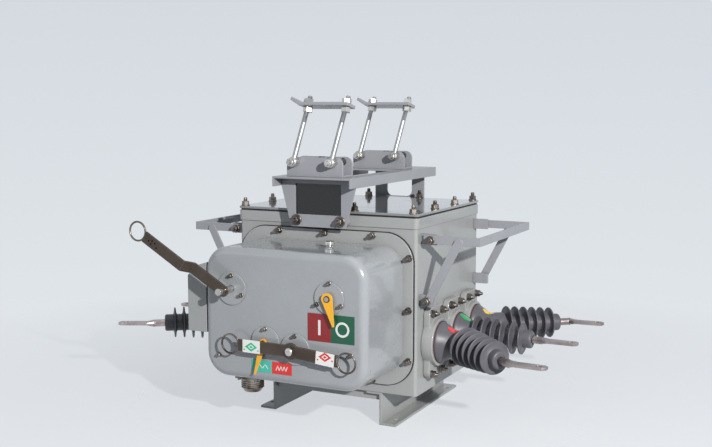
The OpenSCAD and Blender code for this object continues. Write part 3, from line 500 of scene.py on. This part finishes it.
TANK = ("grey_paint", tank_paint)
COVER = ("grey_paint", cover_paint)
HOOD = ("hood_paint", hood_paint)
BOX = ("hood_paint", tank_paint)
BRACKET = ("bracket_paint", bracket_paint)
KNOB = ("bright_steel", chrome)
SOFT = [
    ("tank", 0.9, TANK), ("top_cover", 1.0, COVER),
    ("mechanism_flange", 1.2, TANK), ("shaft_bosses", 0.8, HOOD),
    ("side_box", 1.2, BOX), ("left_bushing_flanges", 2.2, TANK),
    ("right_bushing_flanges", 2.2, TANK), ("left_foot", 0.8, TANK),
    ("right_foot", 0.8, TANK), ("cross_members", 0.6, TANK),
    ("left_side_frame", 0.7, BRACKET), ("right_side_frame", 0.7, BRACKET),
    ("frame_tabs", 0.7, BRACKET), ("hanging_bracket", 0.8, BRACKET),
    ("front_leg", 0.8, BRACKET), ("rear_leg", 0.8, BRACKET),
    ("front_saddle", 0.8, BRACKET), ("rear_saddle", 0.8, BRACKET),
    ("front_clamp_bar", 1.2, BRACKET), ("rear_clamp_bar", 1.2, BRACKET),
    ("breather", 1.2, KNOB),
]
for node, width, (slot, finish) in SOFT:
    piece("soft_" + node, soften(skin(node), width), "breaker", slot, finish,
          replaces=[node])

for node, finish in (("mechanism_housing", hood_paint),
                     ("gaskets", seal_rubber), ("name_panel", dark_panel)):
    data = frame["nodes"][node].data
    data.materials.clear()
    data.materials.append(finish)

# %% [markdown]
# Bolts come next, and there are more than a hundred. Each kind is turned or
# pressed once as a small mesh that stands on its seat and points up, and is
# then stamped wherever it belongs. A lathe helper spins a half outline round
# the upright axis, as a real lathe would cut it.

# %% Lathe, hexagons and stamps


def lathe(profile, steps=28):
    """Mesh of a half outline [(radius, height), ...] in mm, spun round Z."""
    bm = bmesh.new()
    line = [bm.verts.new((r * MM, 0, z * MM)) for r, z in profile]
    edges = [bm.edges.new(pair) for pair in zip(line, line[1:])]
    bmesh.ops.spin(bm, geom=line + edges, cent=(0, 0, 0), axis=(0, 0, 1),
                   angle=2 * math.pi, steps=steps, use_merge=True)
    bmesh.ops.remove_doubles(bm, verts=bm.verts, dist=1e-6)
    bmesh.ops.recalc_face_normals(bm, faces=bm.faces)
    mesh = bpy.data.meshes.new("turned")
    bm.to_mesh(mesh)
    bm.free()
    return mesh


def hexagon(across, height, base=0.0):
    """A nut or bolt head whose corners are chamfered at the top."""
    bm = bmesh.new()
    radius = across / 2 / math.cos(math.pi / 6) * MM
    bmesh.ops.create_cone(bm, cap_ends=True, segments=6, radius1=radius,
                          radius2=radius, depth=height * MM)
    top = [f for f in bm.faces if f.normal.z > 0.9]
    bmesh.ops.inset_region(bm, faces=top, thickness=0.07 * across * MM)
    rim = {v for f in bm.faces for v in f.verts
           if v.co.z > 0 and v.co.xy.length > 0.95 * radius}
    bmesh.ops.translate(bm, verts=list(rim),
                        vec=(0, 0, -0.09 * height * MM))
    bmesh.ops.translate(bm, verts=bm.verts,
                        vec=(0, 0, (base + height / 2) * MM))
    mesh = bpy.data.meshes.new("hexagon")
    bm.to_mesh(mesh)
    bm.free()
    return mesh


def threads(radius, start, end, pitch=1.75, cut=0.5):
    """Half outline of a threaded length, as rings one pitch apart."""
    rings = int((end - start) / pitch)
    line = []
    for i in range(rings):
        line += [(radius - cut, start + i * pitch),
                 (radius, start + (i + 0.5) * pitch)]
    return line


def aim(at, along=(0, 0, 1), turn=0.0):
    """Matrix that stands a mesh at a point and points its Z along a way."""
    way = Vector(along).normalized().to_track_quat("Z", "Y")
    return (Matrix.Translation(Vector(at)) @ way.to_matrix().to_4x4()
            @ Matrix.Rotation(turn, 4, "Z"))


def stamp(bm, meshes, matrix, slot=0):
    """Add a copy of each mesh to bm, placed by the matrix."""
    for mesh in meshes:
        verts, faces = len(bm.verts), len(bm.faces)
        bm.from_mesh(mesh)
        bm.verts.ensure_lookup_table()
        bm.faces.ensure_lookup_table()
        bmesh.ops.transform(bm, matrix=matrix, verts=bm.verts[verts:])
        for face in bm.faces[faces:]:
            face.material_index = slot


def washer(radius, thick, hole=0.0, base=0.0):
    soft = 0.3 * thick
    top = base + thick
    return lathe([(hole, base), (radius, base), (radius, top - soft),
                  (radius - soft, top), (hole, top)])


def stud(radius, start, end):
    tip = 0.3 * radius
    return lathe([(0, start)] + threads(radius, start, end - tip)
                 + [(radius - tip, end), (0, end)], steps=16)


def bolted(across, head, wide, thick, tail=0.0):
    """Washer, head or nut, and the stud's end when it shows."""
    parts = [washer(wide / 2, thick), hexagon(across, head, thick)]
    if tail:
        parts.append(stud(across * 0.31, thick + head - 1,
                          thick + head + tail))
    else:
        parts.append(lathe([(0, thick + head - 0.5),
                            (across * 0.3, thick + head - 0.5),
                            (across * 0.27, thick + head + 0.25),
                            (0, thick + head + 0.4)], steps=16))
    return parts


FRONT, BACK, UP, DOWN = (0, -1, 0), (0, 1, 0), (0, 0, 1), (0, 0, -1)
dice = random.Random(7)


def fasteners(name, spots):
    """One piece of many fasteners: (kind, place, way, fixed turn or None)."""
    bm = bmesh.new()
    for kind, at, way, turn in spots:
        turn = dice.uniform(0, 1) if turn is None else turn
        stamp(bm, kind, aim(at, way, turn))
    piece(name, bm, "breaker", "bright_steel", dull_zinc)


print("fastener kinds ready")

# %% [markdown]
# The cover is held by twelve studs round its edge: three or four to a side,
# each with a washer, a nut and a length of bare thread. A little random turn
# stops the nuts from lining up like soldiers.

# %% Cover nuts
cover_nut = bolted(16, 9, 21, 2.5, 9)
edge_x, edge_y = high("top_cover").x - 0.015, high("top_cover").y - 0.009
spots = [(x, y) for x in (-edge_x, -edge_x / 3, edge_x / 3, edge_x)
         for y in (-edge_y, edge_y)]
spots += [(x, y) for x in (-edge_x, edge_x)
          for y in (-edge_y / 3, edge_y / 3)]
fasteners("cover_nuts", [(cover_nut, (x, y, cover_top), UP, None)
                         for x, y in spots])

# %% [markdown]
# Bolts hold the mechanism's flange to the tank, on the land round the hood.
# The round plates over the shafts have three small screws each.

# %% Mechanism bolts and plate screws
FLANGE_COLUMNS, FLANGE_ROW = (-0.122, 0.004, 0.130), 0.172
FLANGE_SIDE, SIDE_RISES = 0.2225, (0.124, 0.002, -0.118)
BOSS_CIRCLES = ((charging_axis, 0.030), (position_axis, 0.033),
                (charge_axis, 0.030), (operating_axis, 0.030))
HOOD_SCREWS = ((-0.169, 0.183), (0.172, 0.216))
flange_bolt = bolted(13, 8, 17, 2, 9)
plate_screw = bolted(8, 6, 11, 1.5, 3)
flange_mid = middle("mechanism_flange").z
spots = [(x, flange_mid + rise) for x in FLANGE_COLUMNS
         for rise in (FLANGE_ROW, -FLANGE_ROW)]
spots += [(x, flange_mid + rise) for x in (-FLANGE_SIDE, FLANGE_SIDE)
          for rise in SIDE_RISES]
bolts = [(flange_bolt, (x, flange_face, z), FRONT, None) for x, z in spots]
for axis, circle in BOSS_CIRCLES:
    for turn in (90, -27, 207):
        a = math.radians(turn)
        at = (axis.x + circle * math.cos(a), boss_face,
              axis.z + circle * math.sin(a))
        bolts.append((plate_screw, at, FRONT, None))
bolts += [(plate_screw, (x, hood_face, z), FRONT, 0.3)
          for x, z in HOOD_SCREWS]
fasteners("mechanism_bolts", bolts)

# %% [markdown]
# Each bushing's ear plate is held to the wall by four studs with nuts.

# %% Wall flange nuts
EAR_NUT_ACROSS, EAR_NUT_UP = 0.030, 0.073
wall_nut = bolted(15, 9, 19, 2.5, 7)
fasteners("wall_flange_nuts", [
    (wall_nut, (side * ear_face, phase * phase_pitch + dy, bushing_z + dz),
     (side, 0, 0), None)
    for side in SIDES for phase in PHASES
    for dy in (-EAR_NUT_ACROSS, EAR_NUT_ACROSS)
    for dz in (-EAR_NUT_UP, EAR_NUT_UP)])

# %% [markdown]
# A side frame is held by a bolt at the end of each bar and each brace, with
# broad washers. The legs of the hanging bracket take the biggest bolts.

# %% Frame and leg bolts
# Across, up, and how far back of the frame's own face, in metres.
FRAME_BOLTS = ((0.264, 0.448, 0.004), (0.2575, 0.306, 0.0))
LEG_BOLT_X, LEG_BOLT_Z = 0.058, 0.486
frame_bolt = bolted(16, 9, 21, 2.5, 5)
leg_bolt = bolted(17, 9, 27, 3, 7)
frame_y = high("right_side_frame").y
bolts = [(frame_bolt, (side * x, end * (frame_y - back), z), (0, end, 0),
          None)
         for side in SIDES for end in (-1, 1) for x, z, back in FRAME_BOLTS]
for x in (-LEG_BOLT_X, LEG_BOLT_X):
    for y, way in ((low("front_leg").y, FRONT), (high("rear_leg").y, BACK)):
        bolts.append((leg_bolt, (x, y, LEG_BOLT_Z), way, None))
fasteners("frame_and_leg_bolts", bolts)

# %% [markdown]
# A clamp stands on two leaning threaded rods. Each rod is hinged on a long
# bolt through the saddle: the rod's eye, a broad washer and a nut show in
# front, and a head behind. The pivots' depth and height come from the
# saddles' solids; the rods' lean and spacing are given.

# %% Clamp rods
ROD_LEAN_BACK, ROD_LEAN_SIDE = math.radians(13), math.radians(10)
ROD_R, ROD_LENGTH, THREAD_FROM, BAR_AT = 6.0, 160.0, 96.0, 137.0
ROD_X, PIVOT_BELOW, PIVOT_OUT, EYE_DEPTH = 0.050, 0.0115, 0.011, 0.019
rod_way = (Matrix.Rotation(-ROD_LEAN_BACK, 3, "X")
           @ Matrix.Rotation(ROD_LEAN_SIDE, 3, "Y") @ Vector((0, 0, 1)))
rod = lathe([(0, 0), (ROD_R, 0), (ROD_R, THREAD_FROM)]
            + threads(ROD_R, THREAD_FROM, ROD_LENGTH - 2)
            + [(ROD_R - 2, ROD_LENGTH), (0, ROD_LENGTH)], steps=20)
eye = lathe([(7, 0), (10, 0), (11, 1), (11, 18), (10, 19), (7, 19)])
bar_nut = [hexagon(20, 12)]
cross_head = [washer(11, 2), hexagon(17, 9, 2)]


def clamp_rods(node, saddle):
    bm = bmesh.new()
    front, back = low(saddle).y, high(saddle).y
    pivot_z = high(saddle).z - PIVOT_BELOW
    tilt = Matrix.Rotation(-ROD_LEAN_BACK, 4, "X")
    for x in (-ROD_X, ROD_X):
        pivot = Vector((x, front - PIVOT_OUT, pivot_z))
        eye_face = (x, front - EYE_DEPTH, pivot_z)
        stamp(bm, [rod], aim(pivot, rod_way), 1)
        stamp(bm, [eye], aim((x, front, pivot_z), FRONT))
        stamp(bm, cross_head, aim(eye_face, FRONT, dice.uniform(0, 1)))
        stamp(bm, [stud(5.5, 0, 15)], aim(eye_face, FRONT))
        stamp(bm, [washer(12, 2), hexagon(17, 9, 2), stud(5.5, 9, 15)],
              aim((x, back, pivot_z), BACK, dice.uniform(0, 1)))
        at = pivot + rod_way * BAR_AT * MM
        for start in (4.0, -16.0):
            place = (Matrix.Translation(at) @ tilt
                     @ Matrix.Translation((0, 0, start * MM))
                     @ Matrix.Rotation(dice.uniform(0, 1), 4, "Z"))
            stamp(bm, bar_nut, place)
    piece("threaded_" + node, bm, "breaker", "bright_steel", bright_steel,
          rod_steel, replaces=[node])


clamp_rods("front_clamp_rods", "front_saddle")
clamp_rods("rear_clamp_rods", "rear_saddle")

# %% [markdown]
# A bushing is moulded rubber: a wide foot runs up in a smooth curve to a neck,
# and six thin round sheds stand on the core beyond it, each a little smaller.
# The solid has them as plain cones, so a finer half outline is spun instead.
# The outer bushings are spun straight too, and then bent: each ring of points
# past the foot is carried along an arc, as a hose would be.

# %% Bushing outline
BASE_R, NECK_R, CORE_R = 49.0, 31.0, 21.5
SHEDS, SHED_PITCH, SHED_R, SHED_FALL = 6, 23.0, 46.5, 8.0
SHED_ROOT, SHED_EDGE, CAP = 5.0, 2.2, 26.0
SPLAY, BEND_AT, BEND_REACH = math.radians(38), 43.0, 12.0
BEND_R = BEND_REACH / math.tan(SPLAY / 2)
BEND_START, BEND_LENGTH = BEND_AT - BEND_REACH, BEND_R * SPLAY
FOOT = [(0, 0), (BASE_R, 0), (BASE_R, 3.5), (48, 6), (45.5, 10),
        (42, 16), (38, 22.5), (34.5, 28), (32.2, 32), (NECK_R, 37)]


def arc(centre_r, centre_z, radius, start, end, steps):
    out = []
    for i in range(steps + 1):
        a = math.radians(start + (end - start) * i / steps)
        out.append((centre_r + radius * math.cos(a),
                    centre_z + radius * math.sin(a)))
    return out


def shed_outline(z, shed_r):
    """One shed: a hollow curve out, a round rim, and the way back."""
    reach = shed_r - CORE_R - 2
    side = []
    for i in range(6):
        t = i / 5
        side.append((CORE_R + reach * t,
                     SHED_EDGE + (SHED_ROOT - SHED_EDGE) * (1 - t) ** 2.2))
    lower = [(r, z - h) for r, h in side]
    upper = [(r, z + h) for r, h in reversed(side)]
    return lower + arc(shed_r - 2, z, 2, -66, 66, 4) + upper


def bushing_outline(first):
    neck_end, last = first - 9, first + (SHEDS - 1) * SHED_PITCH
    line = list(FOOT)
    z = 41.0
    while z < neck_end - 5:
        line.append((NECK_R, z))
        z += 2.5
    line += arc(NECK_R - 4, neck_end - 3, 4, 5, 85, 4)
    line += [(CORE_R + 2, neck_end + 1.2), (CORE_R, neck_end + 3)]
    for i in range(SHEDS):
        line += shed_outline(first + i * SHED_PITCH,
                             SHED_R - SHED_FALL * i / (SHEDS - 1))
    line += arc(CORE_R - 5, last + CAP - 5, 5, 0, 90, 5)
    line += [(12.5, last + CAP), (12.2, last + CAP - 1.6),
             (0, last + CAP - 1.6)]
    return line


def bend(bm, phase):
    """Carry the points past the foot along the arc and out beyond it."""
    for v in bm.verts:
        s = v.co.x / MM
        if s <= BEND_START:
            continue
        on_arc = min(s - BEND_START, BEND_LENGTH)
        turn = on_arc / BEND_R
        beyond = s - BEND_START - on_arc
        x = BEND_START + BEND_R * math.sin(turn) + beyond * math.cos(turn)
        y = BEND_R * (1 - math.cos(turn)) + beyond * math.sin(turn)
        aside = phase * v.co.y / MM
        v.co.x = (x - aside * math.sin(turn)) * MM
        v.co.y = phase * (y + aside * math.cos(turn)) * MM


# %% [markdown]
# Each insulator is placed with its foot on the wall ring. The left ones are
# mirror copies, so their faces are turned round again. A dark red seal shows
# as a thin ring round each foot.

# %% Bushings
FIRST_STRAIGHT, FIRST_BENT = 47.0, BEND_START + BEND_LENGTH + 28.5


def bushing(side, phase):
    name = SIDES[side] + "_" + PHASES[phase] + "_insulator"
    bm = bmesh.new()
    first = FIRST_BENT if phase else FIRST_STRAIGHT
    stamp(bm, [lathe(bushing_outline(first), 56)], aim((0, 0, 0), (1, 0, 0)))
    if phase:
        bend(bm, phase)
    bmesh.ops.translate(bm, verts=bm.verts,
                        vec=(ring_face, phase * phase_pitch, bushing_z))
    if side < 0:
        bmesh.ops.scale(bm, vec=(-1, 1, 1), verts=bm.verts)
    bmesh.ops.recalc_face_normals(bm, faces=bm.faces)
    piece("moulded_" + name, bm, "breaker", "silicone", silicone,
          crease=50, replaces=[name])


for side in SIDES:
    for phase in PHASES:
        bushing(side, phase)

seal = lathe([(40, 0), (50.6, 0), (50.6, 1.8), (40, 1.8)], 48)
bm = bmesh.new()
for side in SIDES:
    for phase in PHASES:
        stamp(bm, [seal], aim((side * ring_face, phase * phase_pitch,
                               bushing_z), (side, 0, 0)))
piece("bushing_seals", bm, "breaker", "seal_rubber", gasket_red)

# %% [markdown]
# A glossy oval sticker on top of each bushing's foot tells the phase by its
# colour. It starts as a flat round disc whose points are then laid on the
# curved foot: one way runs along the foot, the other round it.

# %% Phase stickers
STICKER_PROUD = 0.5


def foot_radius(s):
    for (r0, z0), (r1, z1) in zip(FOOT[1:], FOOT[2:]):
        if z0 <= s <= z1:
            return r0 + (r1 - r0) * (s - z0) / max(z1 - z0, 1e-6)
    return NECK_R


def stickers(name, phase, finish, from_s, to_s, half_wide, turn):
    """Stickers of one phase: their reach along the foot, in mm, and turn."""
    bm = bmesh.new()
    for side in SIDES:
        first = len(bm.verts)
        bmesh.ops.create_circle(bm, cap_ends=True, cap_tris=True,
                                segments=28, radius=1)
        bm.verts.ensure_lookup_table()
        disc = bm.verts[first:]
        edges = {e for v in disc for e in v.link_edges}
        bmesh.ops.subdivide_edges(bm, edges=list(edges), cuts=3,
                                  use_grid_fill=True)
        bm.verts.ensure_lookup_table()
        for v in bm.verts[first:]:
            s = (from_s + to_s) / 2 + v.co.x * (to_s - from_s) / 2
            radius = foot_radius(s) + STICKER_PROUD
            around = math.radians(90 + turn) + v.co.y * half_wide / radius
            v.co = (side * (ring_face + s * MM),
                    phase * phase_pitch + radius * MM * math.cos(around),
                    bushing_z + radius * MM * math.sin(around))
    bmesh.ops.recalc_face_normals(bm, faces=bm.faces)
    for face in bm.faces:
        if face.normal.z < 0:
            face.normal_flip()
    piece(name, bm, "breaker", "plate_enamel", finish)


stickers("front_phase_stickers", -1, sticker_red, 20, 48, 10, 10)
stickers("middle_phase_stickers", 0, sticker_green, 5, 33, 10, 8)
stickers("rear_phase_stickers", 1, sticker_yellow, 20, 50, 10, 5)

# %% [markdown]
# Levers and pointers are more than one material in the hand: a painted bar, a
# bright shaft end, a bare ring. The solid's faces are sorted by where they
# lie, and each group gets its own finish.

# %% Levers
LOOP_R, WIRE_R, LOOP_MARGIN = 22.0, 2.25, 1.5
SHAFT_END, LEVER_RISE = 9.0, math.radians(30.5)
LEFT_LOOP_UP, RIGHT_LOOP_UP = 0.5, -5.0


def flat(v, axis):
    """Place seen from the front, in mm from an axis: (across, up)."""
    return Vector(((v.x - axis.x) / MM, (v.z - axis.z) / MM))


def dressed_lever(node, axis, loops, width, finishes, shaft_end=0.0):
    """Bar first, wire loops last, and a shaft end in between if it shows."""
    def on_loop(place):
        at = flat(place, axis)
        return any((at - loop).length < LOOP_R + WIRE_R + LOOP_MARGIN
                   for loop in loops)

    bm = skin(node)
    for face in bm.faces:
        at = face.calc_center_bounds()
        if on_loop(at):
            face.material_index = len(finishes) - 1
        elif flat(at, axis).length < shaft_end:
            face.material_index = 1
    edges = corners(bm, where=lambda edge: not on_loop(edge.verts[0].co))
    piece("soft_" + node, soften(bm, width, edges), node, "bronze_paint",
          *finishes, replaces=[node])


along_lever = Vector((-math.cos(LEVER_RISE), math.sin(LEVER_RISE)))
reach = max(flat(v.co, charging_axis).dot(along_lever)
            for v in frame["nodes"]["charging_lever"].data.vertices)
dressed_lever("charging_lever", charging_axis,
              [along_lever * (reach - LOOP_R - WIRE_R)], 0.5,
              (bronze_lacquer, bright_steel, dull_zinc), SHAFT_END)

left_end = flat(low("operating_handle"), operating_axis).x
right_end = flat(high("operating_handle"), operating_axis).x
dressed_lever("operating_handle", operating_axis,
              [Vector((left_end + LOOP_R + WIRE_R, LEFT_LOOP_UP)),
               Vector((right_end - LOOP_R - WIRE_R, RIGHT_LOOP_UP))], 0.6,
              (bronze_lacquer, dull_zinc))

bm = bmesh.new()
stamp(bm, [lathe([(0, 0), (9, 0), (9, 1.6), (7.4, 3.4), (4, 4.6),
                  (0, 5)], 28)],
      aim((operating_axis.x, low("operating_handle").y, operating_axis.z),
          FRONT))
piece("handle_hub_bolt", bm, "operating_handle", "bright_steel",
      bright_steel)

# %% [markdown]
# Pointers are yellow, with a bright shaft end in a dark ring.

# %% Pointers
for name, axis, hub in (("position_pointer", position_axis, 5.5),
                        ("charge_pointer", charge_axis, 3.6)):
    hub_at = aim((axis.x, low(name).y, axis.z), FRONT)
    piece("soft_" + name, soften(skin(name), 0.3), name, "yellow_paint",
          pointer_yellow, replaces=[name])
    bm = bmesh.new()
    stamp(bm, [lathe([(0, 0), (hub, 0), (hub, 1.2), (hub - 0.4, 1.5),
                      (0, 1.5)], 24)], hub_at)
    stamp(bm, [lathe([(0, -1.5), (hub + 2.2, -1.5), (hub + 2.2, -1.0),
                      (hub, 0.3), (0, 0.3)], 24)], hub_at, 1)
    piece(name + "_hub", bm, name, "bright_steel", bright_steel, seal_rubber)

# %% [markdown]
# Plates and labels are printed: each keeps its solid's shape, and the marks
# are thin raised slips, a tenth to a quarter of a millimetre thick. The
# position plate is dark red with a bar on one half and dark green with a ring
# on the other; the spring plates carry a loose and a tight zigzag.

# %% Printed plates


def slip(bm, outline, face_y, slot, thick=0.2):
    """A flat shape [(x, z), ...] in metres, raised from a front face."""
    face = bm.faces.new([bm.verts.new((x, face_y, z)) for x, z in outline])
    if face.normal.y > 0:
        bmesh.ops.reverse_faces(bm, faces=[face])
    made = bmesh.ops.extrude_face_region(bm, geom=[face])["geom"]
    raised = [g for g in made if isinstance(g, bmesh.types.BMVert)]
    bmesh.ops.translate(bm, vec=(0, -thick * MM, 0), verts=raised)
    for f in {f for v in raised for f in v.link_faces} | {face}:
        f.material_index = slot


def box_outline(x, z, wide, tall, tilt=0.0):
    """Corners of a rectangle, in metres, from a centre and mm sizes."""
    c, t = math.cos(tilt), math.sin(tilt)
    return [(x + (a * wide * c - b * tall * t) / 2 * MM,
             z + (a * wide * t + b * tall * c) / 2 * MM)
            for a, b in ((-1, -1), (1, -1), (1, 1), (-1, 1))]


def ring_slips(bm, x, z, outer, inner, face_y, slot, steps=28):
    for i in range(steps):
        a, b = (2 * math.pi * k / steps for k in (i, i + 1))
        slip(bm, [(x + q * math.cos(w) * MM, z + q * math.sin(w) * MM)
                  for q, w in ((outer, a), (outer, b), (inner, b),
                               (inner, a))], face_y, slot)


def zigzag(bm, x, z, wide, tall, turns, thick, face_y, slot):
    for i in range(turns):
        x0 = x + (i / turns - 0.5) * wide * MM
        x1 = x + ((i + 1) / turns - 0.5) * wide * MM
        up = tall / 2 * MM * (1 if i % 2 else -1)
        run, rise = (x1 - x0) / MM, 2 * -up / MM
        length = math.hypot(run, rise)
        slip(bm, box_outline((x0 + x1) / 2, z, length, thick,
                             math.atan2(rise, run)), face_y, slot)


PLATE_X, PLATE_Z, PLATE_HALF = 0.1235, 0.2715, 0.0285
SPRING_X, SPRING_Z, PLATES_SPLIT_Z = -0.0285, 0.168, 0.22
plate_face = low("indicator_plates").y
bm = skin("indicator_plates")
bmesh.ops.bisect_plane(bm, geom=bm.verts[:] + bm.edges[:] + bm.faces[:],
                       plane_co=(PLATE_X, 0, 0), plane_no=(1, 0, 0))
for face in bm.faces:
    at = face.calc_center_median()
    if at.z > PLATES_SPLIT_Z:
        face.material_index = 0 if at.x < PLATE_X else 1
    else:
        face.material_index = 2 if at.x < SPRING_X else 3
slip(bm, box_outline(PLATE_X - PLATE_HALF, PLATE_Z, 6, 34), plate_face, 4)
ring_slips(bm, PLATE_X + PLATE_HALF, PLATE_Z, 17, 12, plate_face, 4)
zigzag(bm, SPRING_X - 0.024, SPRING_Z, 30, 9, 4, 1.8, plate_face, 4)
zigzag(bm, SPRING_X + 0.027, SPRING_Z, 30, 11, 7, 1.8, plate_face, 4)
piece("printed_plates", bm, "breaker", "plate_enamel", mark_dark_red,
      plate_green, plate_teal, plate_red, mark_pale,
      replaces=["indicator_plates"])

# %% [markdown]
# The handle's labels are white, with a green diamond on the left and a red
# one on the right. The lever's label is kept within the lever's solid, a
# little under the bar's front face.

# %% Handle and lever labels
# Place from the shaft in metres, the arm's fall, and the mark's colour.
HANDLE_LABELS = ((-0.100, 0.0, 1), (0.088, -0.036, 2))
# Each diamond lies on the one before: width, height, thickness, own colour.
DIAMONDS = ((32, 21, 0.12, True), (17, 11, 0.18, False), (10, 6, 0.24, True))
label_face = low("handle_labels").y
bm = skin("handle_labels")
for at_x, tilt, slot in HANDLE_LABELS:
    x = operating_axis.x + at_x
    z = operating_axis.z + at_x * math.tan(tilt)
    for wide, tall, thick, coloured in DIAMONDS:
        points = [(0, -tall / 2), (wide / 2, 0), (0, tall / 2),
                  (-wide / 2, 0)]
        slip(bm, [(x + a * MM, z + b * MM) for a, b in points],
             label_face, slot if coloured else 0, thick)
    for away in (-18, 18):
        slip(bm, box_outline(x + away * MM, z - 7 * MM, 4, 3, tilt),
             label_face, slot, 0.12)
piece("printed_handle_labels", bm, "operating_handle", "white_label",
      label_white, mark_green, mark_red, replaces=["handle_labels"])

LABEL_ALONG, LABEL_SUNK = 199, 0.35
bm = bmesh.new()
bar_face = low("charging_lever").y + LABEL_SUNK * MM


def on_lever(s, across, wide, tall, slot, thick):
    x = charging_axis.x + (along_lever.x * s - along_lever.y * across) * MM
    z = charging_axis.z + (along_lever.y * s + along_lever.x * across) * MM
    slip(bm, box_outline(x, z, wide, tall, -LEVER_RISE), bar_face, slot,
         thick)


on_lever(LABEL_ALONG, 0, 46, 22, 0, 0.2)
on_lever(LABEL_ALONG, 0, 40, 15, 1, 0.3)
for s, across in ((186, 4), (194, -3), (203, 4), (203, -4), (212, 1)):
    on_lever(s, across, 3, 4, 0, 0.35)
piece("lever_label", bm, "charging_lever", "white_label", label_white,
      mark_yellow, seal_rubber)

# %% [markdown]
# The cable connector hangs under the housing: a square plate with a screw in
# each corner, and a ribbed round body below it.

# %% Cable connector
PLATE_WIDE, PLATE_THICK, CORNER_SCREW = 0.060, 0.010, 0.023
BODY_R, GROOVE_R, RIBS, RIB_STEP = 27, 25, 4, 5
plate_high, nose = high("cable_connector").z, low("cable_connector").z
plate_low = plate_high - PLATE_THICK
centre = middle("cable_connector")
plate = bmesh.new()
bmesh.ops.create_cube(plate, size=1)
bmesh.ops.scale(plate, verts=plate.verts,
                vec=(PLATE_WIDE, PLATE_WIDE, PLATE_THICK))
plate.normal_update()
soften(plate, 1.0)
plate_mesh = bpy.data.meshes.new("connector_plate")
plate.to_mesh(plate_mesh)
plate.free()
bm = bmesh.new()
stamp(bm, [plate_mesh], Matrix.Translation(
    (centre.x, centre.y, (plate_high + plate_low) / 2)))
drop = (plate_low - nose) / MM
outline = [(0, -1), (BODY_R, -1), (BODY_R, 3)]
for i in range(RIBS):
    z = 4 + i * RIB_STEP
    outline += [(GROOVE_R, z), (GROOVE_R, z + 2.2), (BODY_R, z + 3),
                (BODY_R, z + 4.2)]
outline += [(24.5, 24.6), (20, drop - 1), (19, drop), (15, drop),
            (14.5, drop - 5), (0, drop - 5)]
stamp(bm, [lathe(outline, 40)], aim((centre.x, centre.y, plate_low), DOWN),
      1)
for dx in (-CORNER_SCREW, CORNER_SCREW):
    for dy in (-CORNER_SCREW, CORNER_SCREW):
        stamp(bm, bolted(7, 3.5, 10, 1),
              aim((centre.x + dx, centre.y + dy, plate_low), DOWN), 2)
piece("turned_cable_connector", bm, "breaker", "bright_steel", dull_zinc,
      cast_steel, dull_zinc, replaces=["cable_connector"])

# %% [markdown]
# The terminals keep the solids' shape, with rounded edges, and take the
# tinned finish.

# %% Terminals
for side in SIDES.values():
    for phase in PHASES.values():
        node = side + "_" + phase + "_terminal"
        piece("soft_" + node, soften(skin(node), 0.6), "breaker",
              "tinned_copper", tinned_copper, replaces=[node])
